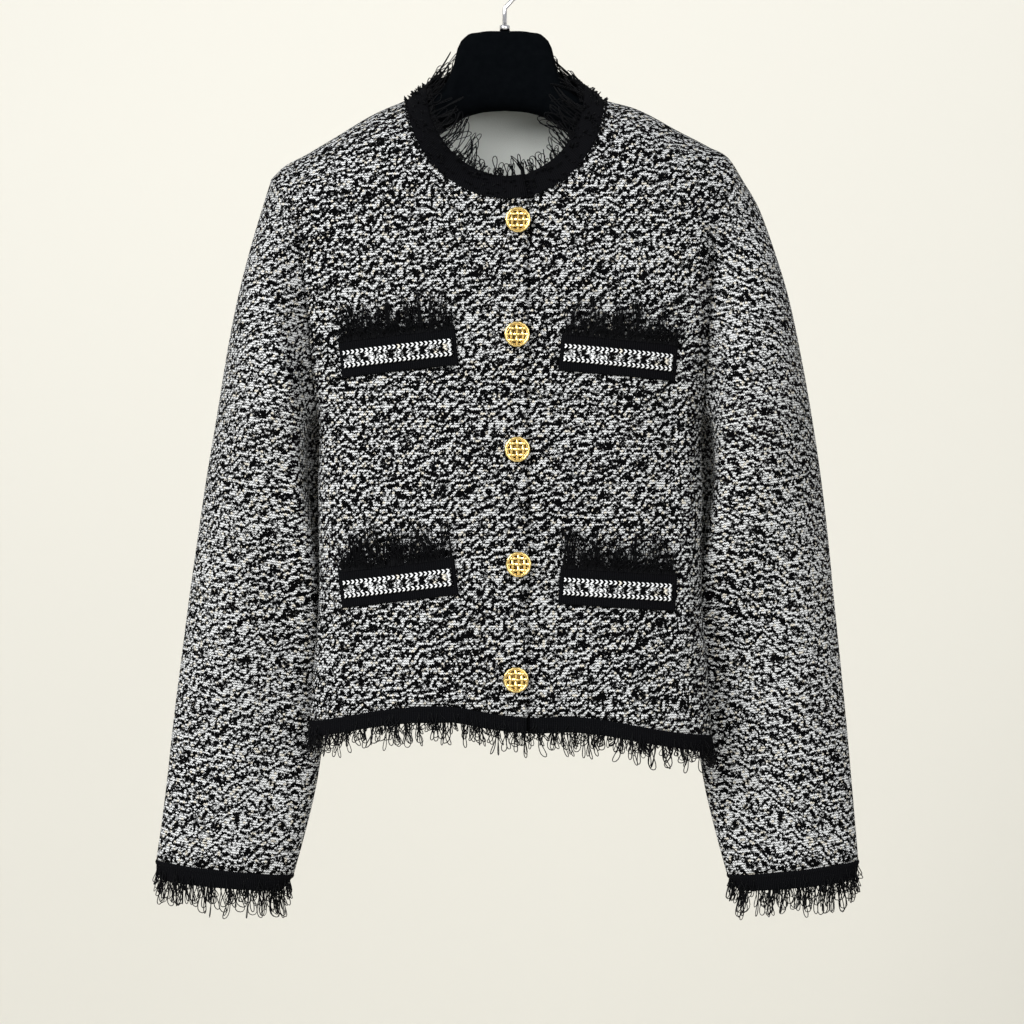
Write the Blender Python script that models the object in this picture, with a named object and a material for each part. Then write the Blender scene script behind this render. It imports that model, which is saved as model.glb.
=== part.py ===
"""Cropped marled knit jacket with black ribbed bands and looped fringe, on a padded hanger.

Tables and sizes are in millimetres and the objects are made in metres. +Z is up, the front of
the jacket faces -Y, and +X is to the right of someone who looks at the front. "left" and "right"
are that person's too. Heights are given as a drop: the distance below the point by which the
hanger's hook hangs, which is the origin.

Every cloth piece is a wall: a grid of points on its outer face, the same grid moved in by the
cloth's thickness, and a rim between them. Pieces that are sewn together share the points and the
wall direction of their seam, and each stands back from it by half the seam's gap.
"""

import math

import bpy
import numpy as np

MM = 0.001

# ---------------------------------------------------------------- driving dimensions
KNIT = 2.2  # thickness of the body and the sleeves
RIB = 2.6  # thickness of the ribbed bands
LINING = 1.0
SEAM_GAP = 0.32
LAYER_GAP = 0.5  # between a layer and the one that lies on it
MITRE_LIMIT = 0.5  # the sharpest seam is built as if it met at this cosine
PROBE = 1.0  # how far to either side the slope of the body's form is measured
CHEST_FACING = 0.2  # a wall that faces the front or the back by less is the top of the shoulder

NECK_HALF = 86.0  # half width of the neck between the shoulder seams
NECK_TOP = 128.0  # drop of the point where the shoulder seam meets the neck
NECK_DEPTH = 95.0  # from there down to the middle of the front neck seam
BACK_NECK_DROP = 119.0
SHOULDER_HALF = 207.0
SHOULDER_DROP = 198.0
UNDERARM_DROP = 405.0
ROLL = 72.0  # height over which the shoulder rolls from its ridge to the full chest

FRONT_EDGE = 19.2  # x of the button edge of the front on top
UNDER_EDGE = 0.0  # x of the edge that lies under it
UNDER_RAMP = (21.0, 29.0)  # x where the under front steps in below the upper one

NECK_BANDS = 9  # grid columns between the button edge and the shoulder seam
SHOULDER_BANDS = 6
ARMHOLE_BANDS = 11
SIDE_BANDS = 9

HEM_RIB = 13.5
STRIP = 3.0  # height of the strip that the fringe hangs from
CUFF_FRINGE = 22.0
HEM_FRINGE = 17.0
NECK_FRINGE = 19.0
STRAND_LENGTHS = (0.78, 1.0)  # the shortest and the longest, as shares of the fringe
STRAND_PLACES = (0.38, 0.62)  # where a strand stands in its span of the edge
STRAND_BEND = 0.45  # how far along a strand it bends
STRAND_SWAY = (1.2, 3.0)  # sideways at the bend and at the tip
STRAND_WIDTHS = (1.5, 0.7)  # at the bend and at the tip, against the root

MARL = (0.30, 0.30, 0.31)
BLACK_YARN = (0.012, 0.012, 0.016)
GREY_CLOTH = (0.30, 0.32, 0.30)
GOLD = (0.83, 0.60, 0.24)
FLOCK = (0.006, 0.007, 0.009)
STEEL = (0.60, 0.60, 0.62)


def table(names, rows):
    """A short table as a dictionary of its named columns."""
    return dict(zip(names.split(), np.array(rows, float).T, strict=True))


# The jacket's middle line, which hangs a little off the hook's plumb line.
MIDDLE_LINE = table("drop x", [(130, 0.7), (420, 5.0)])

# The drop of the shoulder's ridge on either side, by distance from the middle. Inside the neck
# it is the line that the chest and the back would roll up to.
RIDGE = table(
    "out left right",
    [
        (0, 101, 101),
        (45, 108, 108),
        (NECK_HALF, NECK_TOP, NECK_TOP),
        (114, 140, 136),
        (153, 163, 156.5),
        (177, 177, 169),
        (197, 188, 181.5),
        (SHOULDER_HALF, SHOULDER_DROP, SHOULDER_DROP),
    ],
)

# The body: half width, how far the front and the back stand out from the side seam, and its y.
BODY = table(
    "drop half front back side",
    [
        (95, 236, 40, 46, 0),
        (198, 226, 53, 56, 0),
        (250, 213, 58, 60, 0),
        (300, 200, 61, 63, 0),
        (350, 186, 61, 65, 0),
        (UNDERARM_DROP, 169.5, 59, 67, -2),
        (475, 168, 54, 70, -7),
        (570, 167, 51, 72, -12),
        (640, 172.5, 51, 74, -14),
        (673, 174.5, 52, 75, -15),
        (720, 176, 52, 75, -15),
    ],
)
POWER = {"front": 3.0, "back": 2.5}  # how square the section is
CHEST_INSIDE = (5, 0, -400)  # points well inside the hollows, to tell in from out
SLEEVE_INSIDE = (235, 8, -500)
NECK_INSIDE = (0.7, 0, -170)
HEM_INSIDE = (5, 0, -690)

# How far out the armhole seam runs on its way from the shoulder tip to the underarm.
ARMHOLE = table(
    "drop out",
    [
        (SHOULDER_DROP, SHOULDER_HALF),
        (212, 196),
        (235, 184),
        (270, 178.5),
        (320, 174),
        (370, 171),
        (UNDERARM_DROP, 169.5),
    ],
)

# The drop of the hem seam across the front (by x) and across the back.
HEM_FRONT = table(
    "x drop",
    [
        (-169, 671),
        (-133, 664),
        (-90, 657),
        (-46, 655),
        (-8, 661.5),
        (20, 664.5),
        (60, 664),
        (107, 670.5),
        (140, 677),
        (179.5, 683),
    ],
)
HEM_BACK = table("x drop", [(-169, 671), (-90, 668), (5, 670), (95, 676), (179.5, 683)])

# Soft folds: a line on the panel from its first to its second end, and what it stands out.
FRONT_FOLDS = table(
    "x0 drop0 x1 drop1 width height",
    [
        (-150, 300, -128, 560, 15, -4.0),
        (-138, 420, -150, 700, 12, 3.5),
        (-20, 400, -60, 760, 26, 3.0),
        (-112, 560, -104, 780, 16, -3.5),
        (152, 300, 135, 560, 15, -4.0),
        (150, 430, 158, 720, 12, 3.5),
        (62, 470, 44, 780, 24, -3.0),
        (112, 560, 122, 780, 18, 3.5),
    ],
)
BACK_FOLDS = table(
    "x0 drop0 x1 drop1 width height",
    [
        (-140, 320, -96, 620, 16, -4.5),
        (-96, 430, -110, 780, 18, 4.0),
        (-46, 300, -30, 560, 26, -3.0),
        (-24, 480, -42, 780, 20, 3.5),
        (34, 420, 46, 780, 22, -4.0),
        (100, 400, 84, 780, 20, 4.5),
        (142, 320, 122, 640, 16, -4.5),
    ],
)

# The sleeve below its armhole seam: the outer and inner point of each ring, how deep it is from
# front to back on either side of its middle, the y of that middle, and how far its back is
# tucked in behind the body. The last row is the lower edge of the cuff band.
SLEEVE = table(
    "left right drop inner inner_drop deep middle tuck",
    [
        (214.5, 220.5, 222, 180, 409, 46, 0, 8),
        (225, 232.5, 256, 184, 420, 53, 0, 16),
        (236.5, 245, 298, 181.5, 442, 57, 1, 26),
        (247, 255, 345, 178, 467, 57, 3, 32),
        (257.5, 265, 400, 173, 501, 52, 7, 32),
        (268, 274, 455, 168.5, 537, 46, 12, 24),
        (277, 281.5, 510, 166, 574, 41, 17, 14),
        (285.5, 287.5, 565, 165, 612, 37, 21, 6),
        (293, 293.5, 620, 166, 650, 33, 23, 0),
        (300, 299, 675, 167, 690, 29, 23, 0),
        (305, 303, 725, 172, 730, 26, 20, 0),
        (309.5, 306, 765, 181, 770, 24, 17, 0),
        (314, 308.5, 798, 192, 811, 22, 15, 0),
        (311, 306, 815, 202, 825, 21, 15, 0),
    ],
)

# Soft folds of a sleeve: the ring and the angle (0 outside, 90 front, 180 inside) where each
# lies, how far it reaches in rings and degrees, how it slants, and what it stands out.
SLEEVE_FOLDS = table(
    "ring angle rings degrees slant height",
    [
        (2.5, 70, 2.2, 22, 12, -3.0),
        (4.6, 130, 1.6, 26, -18, -4.0),
        (6.4, 95, 1.5, 30, -20, -3.5),
        (8.2, 60, 2.0, 24, 15, 3.0),
        (9.5, 120, 2.2, 22, 10, -3.0),
        (5.0, 250, 2.0, 28, 16, -4.0),
        (8.5, 290, 2.4, 24, -12, 3.0),
    ],
)
RIGHT_FOLD_TURN = 8  # the right sleeve's folds lie this many degrees further round
RIGHT_FOLD_RINGS = 0.4  # and this many rings lower
SLANT_REACH = 2160.0  # turn times slant that moves a fold by one ring

# How the neck band leans: by the y of its seam, its width and how strongly it is drawn upwards.
NECK_LEAN = table(
    "y width lift",
    [(-62, 26, 0), (-40, 21, 4), (-12, 20, 45), (6, 20, 85), (30, 21, 240), (48, 22, 330)],
)
NECK_AIM = (0.7, 0.0, -120.0)  # the point that the band leans towards

BUTTON_X = (11.5, 10.7, 10.9, 12.0, 9.8)
BUTTON_FIRST = 241.7
BUTTON_STEP = 97.65
BUTTON_PROFILE = table(
    "radius out",
    [(2.8, 0.6), (2.8, 2.4), (9.6, 2.4), (11, 4.2), (10, 5.9), (8, 5.2), (3.6, 6.1)],
)
BUTTON_SIDES = 16

POCKETS = {
    "upper_left": (-90.2, 354.9, 5.9),
    "upper_right": (97.1, 358.7, -4.9),
    "lower_left": (-90.4, 551.0, 6.9),
    "lower_right": (96.5, 556.2, -3.7),
}
WELT = (93.0, 15.0)
TRIM_SIDE = 3.6
TRIM_BELOW = 8.0
TRIM_ABOVE = 9.5
TRIM_THICK = 1.6
WELT_THICK = 1.4
POCKET_FRINGE = 22.0
POCKET_SET = 0.65  # from the knit to the trim's inner face
POCKET_STRIP = 2.4  # height of the strip that the pocket's fringe stands on
POCKET_FRINGE_INSET = 1.0  # how far the fringe stops short of the trim's ends
FRINGE_LIFT = {"pocket": 2.6, "neck": 2.0, "hem": 1.5, "cuff": 1.5}
STRAND_HALF = {"pocket": 0.14, "neck": 0.1, "hem": 0.12, "cuff": 0.12}
FRINGE_SEED = {"neck": 5, "hem": 7, "cuff": 16}

# The hanger, by distance from its middle.
HANGER = table(
    "out top bottom deep",
    [
        (0, 67.5, 137, 15),
        (22, 68.5, 139, 15),
        (35, 73, 143, 15.5),
        (41.5, 83, 146, 16),
        (45, 98, 148, 16.5),
        (51, 112, 152, 17),
        (60, 122.5, 158, 18),
        (75, 130.5, 166, 19),
        (90, 136.5, 173, 20),
        (114, 147, 184, 20),
        (153, 171, 202, 19),
        (178, 186, 213, 16),
        (188, 193, 214, 11),
    ],
)
HANGER_SIDES = 12
HANGER_POWER = 2.6
HOOK_WIRE = 2.0
HOOK_COLLAR = 4.6
HOOK_BEND = 21.0
HOOK_SIDES = 8
HOOK_COLLAR_HIGH = 5.0
HOOK_TURN = (-68, 200)  # degrees through which the wire runs round its bend


# ---------------------------------------------------------------- shared shapes
def unit(vectors):
    return vectors / np.maximum(np.linalg.norm(vectors, axis=-1, keepdims=True), 1e-9)


def smooth(at, xs, ys):
    """A cubic curve through the rows of a table, level beyond its ends."""
    at = np.clip(at, xs[0], xs[-1])
    slopes = np.gradient(ys, xs)
    i = np.clip(np.searchsorted(xs, at, side="right") - 1, 0, len(xs) - 2)
    wide = xs[i + 1] - xs[i]
    t = (at - xs[i]) / wide
    rise = (1 + 2 * t) * (1 - t) ** 2 * ys[i] + t * t * (3 - 2 * t) * ys[i + 1]
    return rise + t * (1 - t) * wide * ((1 - t) * slopes[i] - t * slopes[i + 1])


def centre(drop):
    """The x of the jacket's middle line."""
    return np.interp(drop, MIDDLE_LINE["drop"], MIDDLE_LINE["x"])


def ridge(side):
    """The drop of the shoulder's ridge, by signed distance from the middle line."""
    left, right = (smooth(np.abs(side), RIDGE["out"], RIDGE[name]) for name in ("left", "right"))
    return np.where(side < 0, left, right)


def body(drop, column):
    return smooth(drop, BODY["drop"], BODY[column])


def fold_height(x, drop, folds):
    """What the soft folds of a panel add to its depth: bell-shaped across, fading at the ends."""
    total = np.zeros_like(x)
    for k in range(len(folds["x0"])):
        run_x = folds["x1"][k] - folds["x0"][k]
        run_drop = folds["drop1"][k] - folds["drop0"][k]
        length = math.hypot(run_x, run_drop)
        away_x = x - folds["x0"][k]
        away_drop = drop - folds["drop0"][k]
        along = (away_x * run_x + away_drop * run_drop) / length**2
        beside = (away_x * run_drop - away_drop * run_x) / length
        fade = np.sin(np.pi * np.clip(along, 0, 1))
        total += folds["height"][k] * fade * np.exp(-((beside / folds["width"][k]) ** 2))
    return total


def body_point(x, drop, face):
    """A point on the outside of the front or the back."""
    x, drop = np.broadcast_arrays(np.asarray(x, float), np.asarray(drop, float))
    out = np.abs(x - centre(drop))
    power = POWER[face]
    across = (1 - np.minimum(out / body(drop, "half"), 1) ** power) ** (1 / power)
    roll = np.clip((drop - ridge(x - centre(drop))) / ROLL, 0, 1)
    arch = np.sqrt(1 - (1 - roll) ** 2)
    folds = FRONT_FOLDS if face == "front" else BACK_FOLDS
    depth = (body(drop, face) + fold_height(x, drop, folds)) * across * arch
    sign = -1 if face == "front" else 1
    return np.stack([x, body(drop, "side") + sign * depth, -drop], axis=-1)


def grid_normals(grid, wrap=False):
    """Unit normals of a grid of points, from the differences along its rows and columns."""
    down = np.gradient(grid, axis=0)
    if wrap:
        along = np.roll(grid, -1, axis=1) - np.roll(grid, 1, axis=1)
    else:
        along = np.gradient(grid, axis=1)
    return unit(np.cross(down, along))


def body_normals(grid, face):
    """Normals of the front or the back at points on it, from the slope of its form."""
    x, drop = grid[..., 0], -grid[..., 2]
    near = PROBE
    by_x = body_point(x + near, drop, face) - body_point(x - near, drop, face)
    by_drop = body_point(x, drop + near, face) - body_point(x, drop - near, face)
    flat = np.full(x.shape, -2 * near)
    normals = np.stack([by_x[..., 1], flat, -by_drop[..., 1]], axis=-1)
    return unit(normals if face == "front" else -normals)


def outward(grid, normals, inside):
    """The normals, all turned the way that most of them leave the point inside."""
    leaving = np.sum(normals * (grid - np.array(inside, float)))
    return normals if leaving > 0 else -normals


# ---------------------------------------------------------------- meshes
def material(name, colour, roughness, metallic=0.0):
    made = bpy.data.materials.new(name)
    made.use_nodes = True
    shader = made.node_tree.nodes["Principled BSDF"]
    shader.inputs["Base Color"].default_value = (*colour, 1.0)
    shader.inputs["Roughness"].default_value = roughness
    shader.inputs["Metallic"].default_value = metallic
    made.diffuse_color = (*colour, 1.0)
    return made


def add_solid(name, points, faces, finish):
    """One closed body from points in millimetres, with its faces turned outwards."""
    points = np.asarray(points, float) * MM
    volume = 0.0
    for face in faces:
        a = points[face[0]]
        for k in range(1, len(face) - 1):
            volume += np.dot(a, np.cross(points[face[k]], points[face[k + 1]]))
    if volume < 0:
        faces = [tuple(reversed(face)) for face in faces]
    mesh = bpy.data.meshes.new(name)
    mesh.from_pydata(points.tolist(), [], faces)
    mesh.materials.append(finish)
    mesh.validate()
    made = bpy.data.objects.new(name, mesh)
    bpy.context.scene.collection.objects.link(made)
    return made


def split_quad(a, b, c, d):
    """A four-sided face as two triangles, so that a bent one has a definite shape."""
    return [(a, b, c), (a, c, d)]


def wall_faces(rows, columns, wrap):
    """The faces of a wall whose outer grid comes first and whose inner grid follows it."""
    inner = rows * columns
    spans = columns if wrap else columns - 1
    faces = []
    for i in range(rows - 1):
        for j in range(spans):
            k = (j + 1) % columns
            a, b = i * columns + j, i * columns + k
            c, d = (i + 1) * columns + k, (i + 1) * columns + j
            outer = split_quad(a, b, c, d)
            faces += outer
            faces += [tuple(inner + point for point in face[::-1]) for face in outer]
    for j in range(spans):
        k = (j + 1) % columns
        last = (rows - 1) * columns
        faces += split_quad(k, j, inner + j, inner + k)
        faces += split_quad(last + j, last + k, inner + last + k, inner + last + j)
    if not wrap:
        for i in range(rows - 1):
            a, d = i * columns, (i + 1) * columns
            b, c = a + columns - 1, d + columns - 1
            faces += split_quad(a, d, inner + d, inner + a)
            faces += split_quad(c, b, inner + b, inner + c)
    return faces


class Cloth:
    """The outer grid of one piece, its wall directions and the seams along its edges."""

    def __init__(self, name, grid, thick, inside, wrap=False, normals=None):
        self.name = name
        self.grid = grid
        self.thick = thick
        self.wrap = wrap
        if normals is None:
            normals = outward(grid, grid_normals(grid, wrap), inside)
        self.normals = normals
        self.pull = np.zeros_like(grid)

    def seam(self, index, into, closed=False, share=0.5):
        """Stands the edge at index back by its share of the gap, towards the points at into."""
        line, normals = self.grid[index], self.normals[index]
        if closed:
            along = np.roll(line, -1, axis=0) - np.roll(line, 1, axis=0)
        else:
            along = np.gradient(line, axis=0)
        side = unit(np.cross(normals, along))
        if np.sum(side * (self.grid[into] - line)) < 0:
            side = -side
        self.pull[index] += side * SEAM_GAP * share

    def outer(self):
        return self.grid + self.pull

    def inner(self, depth=None):
        return self.outer() - self.normals * (self.thick if depth is None else depth)

    def solid(self, finish):
        points = np.concatenate([self.outer().reshape(-1, 3), self.inner().reshape(-1, 3)])
        rows, columns = self.grid.shape[:2]
        return add_solid(self.name, points, wall_faces(rows, columns, self.wrap), finish)


def share_normals(pieces):
    """Gives every point that pieces have in common the mean of their wall directions there.

    Where they meet at an angle it is longer than 1, as in a mitre, so the walls keep their
    thickness.
    """
    sums, counts = {}, {}
    for piece in pieces:
        for point, normal in zip(
            piece.grid.reshape(-1, 3), piece.normals.reshape(-1, 3), strict=True
        ):
            key = tuple(np.round(point, 6))
            sums[key] = sums.get(key, 0) + normal
            counts[key] = counts.get(key, 0) + 1
    for piece in pieces:
        flat = piece.normals.reshape(-1, 3)
        for k, point in enumerate(piece.grid.reshape(-1, 3)):
            key = tuple(np.round(point, 6))
            mean = sums[key] / counts[key]
            length = np.linalg.norm(mean)
            flat[k] = mean / length / max(length, MITRE_LIMIT)
        piece.normals = flat.reshape(piece.grid.shape)


# ---------------------------------------------------------------- seam lines
def neck_columns(first_x, ramp):
    """The x and drop of the front neck seam, from a button edge round to the shoulder seam.

    first_x is measured towards the piece's own side, and ramp names two more such places.
    """
    quarter = math.pi / 2
    start = math.asin(first_x / NECK_HALF)
    near = [math.asin(place / NECK_HALF) for place in ramp] if ramp else [start]
    bands = NECK_BANDS - len(ramp) if ramp else NECK_BANDS
    rest = near[-1] + (quarter - near[-1]) * np.sin(np.linspace(0, quarter, bands + 1))
    turn = np.concatenate([[start, near[0]], rest]) if ramp else rest
    return NECK_HALF * np.sin(turn), NECK_TOP + NECK_DEPTH * np.cos(turn)


def shoulder_columns(side):
    """Signed distance from the middle and drop of the shoulder seam beyond the neck."""
    out = side * np.linspace(NECK_HALF, SHOULDER_HALF, SHOULDER_BANDS + 1)[1:]
    return out, ridge(out)


def armhole_line(side, face):
    """Points of the armhole seam from the shoulder tip down to the underarm."""
    turn = np.linspace(0, math.pi, ARMHOLE_BANDS + 1)
    middle = (SHOULDER_DROP + UNDERARM_DROP) / 2
    drop = middle - (UNDERARM_DROP - SHOULDER_DROP) / 2 * np.cos(turn)
    out = smooth(drop, ARMHOLE["drop"], ARMHOLE["out"])
    return body_point(centre(drop) + side * out, drop, face)


def side_line(side):
    """Points of the side seam from the underarm down to the hem."""
    last = HEM_FRONT["drop"][0 if side < 0 else -1]
    drop = np.linspace(UNDERARM_DROP, last, SIDE_BANDS + 1)
    points = body_point(centre(drop) + side * body(drop, "half"), drop, "front")
    points[:, 1] = body(drop, "side")
    return points


def edge_line(side, face):
    """The whole outer edge of a panel: the armhole and then the side seam."""
    sewn = armhole_line(side, face)
    sewn[0, 1] = body(SHOULDER_DROP, "side")
    below = side_line(side)
    return np.concatenate([sewn[:-1], below])


def edge_share(columns):
    """How much each column of a panel follows the curve of its last one, over the shoulder."""
    from_edge = np.arange(columns)[::-1]
    return np.clip(1 - from_edge / SHOULDER_BANDS, 0, 1) ** 1.5


def patch(top, bottom, near, far, face):
    """A panel's grid between its four edges, with its depth from the body's own form.

    top and bottom run from near to far, and near and far run downwards. Each column is a straight
    blend from top to bottom, and those below a shoulder take up the curve of the edge beside it.
    """
    rows, columns = len(near), len(top)
    v = ((far[:, 2] - far[0, 2]) / (far[-1, 2] - far[0, 2]))[:, None]
    share = edge_share(columns)
    flat = np.zeros((rows, columns, 2))
    for axis, place in ((0, 0), (1, 2)):
        flat[..., axis] = (1 - v) * top[:, place] + v * bottom[:, place]
        for edge, part in ((near[:, place], share[::-1]), (far[:, place], share)):
            bend = edge[:, None] - (1 - v) * edge[0] - v * edge[-1]
            flat[..., axis] += bend * part
    grid = body_point(flat[..., 0], -flat[..., 1], face)
    grid[0], grid[-1], grid[:, 0], grid[:, -1] = top, bottom, near, far
    return grid


def front_grid(side, first_x, ramp):
    """One front: side is -1 for the left one and first_x the x of its button edge."""
    neck_x, neck_drop = neck_columns(side * (first_x - centre(NECK_TOP)), ramp)
    shoulder_x, shoulder_drop = shoulder_columns(side)
    drop = np.concatenate([neck_drop, shoulder_drop])
    x = centre(drop) + np.concatenate([side * neck_x, shoulder_x])
    top = body_point(x, drop, "front")
    top[NECK_BANDS:, 1] = body(drop[NECK_BANDS:], "side")
    far = edge_line(side, "front")
    top[-1] = far[0]
    columns = NECK_BANDS + SHOULDER_BANDS
    part = np.linspace(0, 1, columns + 1)
    if ramp:
        wide = side * (far[-1, 0] - first_x)
        fixed = [(place - side * first_x) / wide for place in ramp]
        rest = np.linspace(0, 1, columns - len(ramp) + 1)
        rest = fixed[-1] + (1 - fixed[-1]) * np.sin(rest * math.pi / 2)
        across = np.concatenate([[0, fixed[0]], rest])
    else:
        across = np.sin(part * math.pi / 2)
    foot_x = first_x + across * (far[-1, 0] - first_x)
    foot_drop = smooth(foot_x, HEM_FRONT["x"], HEM_FRONT["drop"])
    bottom = body_point(foot_x, foot_drop, "front")
    bottom[-1] = far[-1]
    down = (far[:, 2] - far[0, 2]) / (far[-1, 2] - far[0, 2])
    near_drop = drop[0] + down * (foot_drop[0] - drop[0])
    near = body_point(np.full(len(down), first_x), near_drop, "front")
    near[0], near[-1] = top[0], bottom[0]
    return patch(top, bottom, near, far, "front")


def back_grid():
    """The back, from the left side seam to the right one."""
    left_x, left_drop = shoulder_columns(-1)
    right_x, right_drop = shoulder_columns(1)
    inside = -np.cos(np.linspace(0, math.pi, NECK_BANDS + 1))[1:-1]
    neck_drop = BACK_NECK_DROP + (NECK_TOP - BACK_NECK_DROP) * np.abs(inside) ** 2.5
    out = np.concatenate(
        [left_x[::-1], [-NECK_HALF], inside * NECK_HALF, [NECK_HALF], right_x]
    )
    drop = np.concatenate([left_drop[::-1], [NECK_TOP], neck_drop, [NECK_TOP], right_drop])
    top = body_point(centre(drop) + out, drop, "back")
    sewn = np.abs(out) >= NECK_HALF
    top[sewn, 1] = body(drop[sewn], "side")
    near, far = edge_line(-1, "back"), edge_line(1, "back")
    top[0], top[-1] = near[0], far[0]
    columns = len(top) - 1
    across = (1 - np.cos(np.linspace(0, 1, columns + 1) * math.pi)) / 2
    foot_x = near[-1, 0] + across * (far[-1, 0] - near[-1, 0])
    bottom = body_point(foot_x, smooth(foot_x, HEM_BACK["x"], HEM_BACK["drop"]), "back")
    bottom[0], bottom[-1] = near[-1], far[-1]
    return patch(top, bottom, near, far, "back")


def step_under(grid, normals):
    """Moves the under front in, where the upper one lies on it."""
    start, end = UNDER_RAMP
    t = np.clip((end - grid[..., 0]) / (end - start), 0, 1)
    depth = (RIB + 2 * LAYER_GAP) * t * t * (3 - 2 * t)
    near = np.abs(normals[..., 1]) > CHEST_FACING
    return grid - normals * (depth * near)[..., None]


# ---------------------------------------------------------------- sleeves
def ring_points(side, row, turns):
    """One ring of a sleeve, at angles counted from its outer point towards the front."""
    out = row["left"] if side < 0 else row["right"]
    outer = np.array([centre(row["drop"]) + side * out, -row["drop"]])
    inner = np.array([centre(row["inner_drop"]) + side * row["inner"], -row["inner_drop"]])
    middle, reach = (outer + inner) / 2, (outer - inner) / 2
    flat = middle + reach * np.cos(turns)[:, None]
    flat[:, 0] -= side * row["tuck"] * np.maximum(-np.sin(turns), 0) * (1 - np.cos(turns)) / 2
    y = row["middle"] - row["deep"] * np.sin(turns)
    return np.stack([flat[:, 0], y, flat[:, 1]], axis=-1)


def fold_sleeve(grid, side):
    """Soft folds, as troughs and ridges along the sleeve's own normals."""
    rows, columns = grid.shape[:2]
    ring = np.arange(rows)[:, None] * np.ones(columns)
    angle = np.ones((rows, 1)) * (np.arange(columns) * 360.0 / columns)
    total = np.zeros((rows, columns))
    for k in range(len(SLEEVE_FOLDS["ring"])):
        place = SLEEVE_FOLDS["angle"][k] + (RIGHT_FOLD_TURN if side > 0 else 0)
        level = SLEEVE_FOLDS["ring"][k] + (RIGHT_FOLD_RINGS if side > 0 else 0)
        turn = (angle - place + 180) % 360 - 180
        slanted = level + turn * SLEEVE_FOLDS["slant"][k] / SLANT_REACH
        along = (ring - slanted) / SLEEVE_FOLDS["rings"][k]
        across = turn / SLEEVE_FOLDS["degrees"][k]
        total += SLEEVE_FOLDS["height"][k] * np.exp(-(along**2) - across**2)
    fade = np.clip(ring / 2, 0, 1) * np.clip((rows - 1 - ring) / 2, 0, 1)
    centres = grid.mean(axis=1, keepdims=True)
    return grid + unit(grid - centres) * (total * fade)[..., None]


def sleeve_grid(side, seam):
    """A sleeve from its armhole seam to its cuff, and the cuff band below it."""
    columns = len(seam)
    turns = np.arange(columns) * 2 * math.pi / columns
    rings = [seam]
    for k in range(len(SLEEVE["drop"])):
        row = {name: values[k] for name, values in SLEEVE.items()}
        rings.append(ring_points(side, row, turns))
    return fold_sleeve(np.array(rings[:-1]), side), rings[-1]


# ---------------------------------------------------------------- fringe
def fringe_solid(name, rim, free, strands, finish, wrap=False):
    """A strip of cloth edge with its strands, as one body.

    rim and free are the strip's sewn and free edge, each as a pair of outer and inner points.
    strands holds one path for each span of the free edge: moves of the root, and how wide the
    strand is at each.
    """
    count = len(rim[0])
    points = [*rim[0], *rim[1], *free[0], *free[1]]
    rim_out, rim_in, free_out, free_in = (k * count for k in range(4))
    faces = []
    for j, strand in enumerate(strands):
        k = (j + 1) % count
        faces += split_quad(rim_out + j, rim_in + j, rim_in + k, rim_out + k)
        moves, widths, place, half = strand
        root = []
        for line in (free[0], free[1]):
            for part in (place - half, place + half):
                root.append(line[j] + (line[k] - line[j]) * part)
        a = len(points)
        points += root
        out_a, out_b, in_a, in_b = a, a + 1, a + 2, a + 3
        for first, ends, near, far, flip in (
            (rim_out, free_out, out_a, out_b, False),
            (rim_in, free_in, in_a, in_b, True),
        ):
            fan = [
                (first + j, near, ends + j),
                (first + j, far, near),
                (first + j, first + k, far),
                (first + k, ends + k, far),
            ]
            faces += [face[::-1] if flip else face for face in fan]
        faces += split_quad(free_out + j, out_a, in_a, free_in + j)
        faces += split_quad(out_b, free_out + k, free_in + k, in_b)
        corners = np.array([root[0], root[1], root[3], root[2]])
        middle = corners.mean(axis=0)
        ring = [out_a, out_b, in_b, in_a]
        for move, width in zip(moves, widths, strict=True):
            made = middle + move + (corners - middle) * width
            b = len(points)
            points += list(made)
            for s in range(4):
                e = (s + 1) % 4
                faces += split_quad(ring[s], ring[e], b + e, b + s)
            ring = [b, b + 1, b + 2, b + 3]
        faces += split_quad(*ring)
    if not wrap:
        last = count - 1
        faces += split_quad(rim_out, free_out, free_in, rim_in)
        faces += split_quad(rim_out + last, rim_in + last, free_in + last, free_out + last)
    return add_solid(name, points, faces, finish)


def strand_paths(lines, direction, lift, length, seed, half):
    """Strands for every span of an edge, each with its own length, sway and place."""
    rng = np.random.default_rng(seed)
    along = unit(np.roll(lines, -1, axis=0) - lines)
    strands = []
    for j in range(len(lines) - 1):
        reach = length * rng.uniform(*STRAND_LENGTHS)
        sway, place = rng.uniform(-1, 1), rng.uniform(*STRAND_PLACES)
        moves = [
            direction[j] * reach * far + along[j] * sway * aside + lift[j] * far
            for far, aside in zip((STRAND_BEND, 1.0), STRAND_SWAY, strict=True)
        ]
        strands.append((moves, STRAND_WIDTHS, place, half))
    return strands


# ---------------------------------------------------------------- hard pieces
def turned_solid(name, radius, out, sides, finish, place):
    """A body turned about the Y axis at place, from its profile, flat at both ends."""
    turn = np.arange(sides) * 2 * math.pi / sides
    rings = [
        np.stack([r * np.cos(turn), np.full(sides, -o), r * np.sin(turn)], axis=-1)
        for r, o in zip(radius, out, strict=True)
    ]
    points = np.concatenate(rings) + np.array(place)
    faces = []
    for i in range(len(rings) - 1):
        for j in range(sides):
            k = (j + 1) % sides
            faces.append((i * sides + j, i * sides + k, (i + 1) * sides + k, (i + 1) * sides + j))
    faces.append(tuple(range(sides))[::-1])
    faces.append(tuple(range((len(rings) - 1) * sides, len(rings) * sides)))
    return add_solid(name, points, faces, finish)


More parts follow.
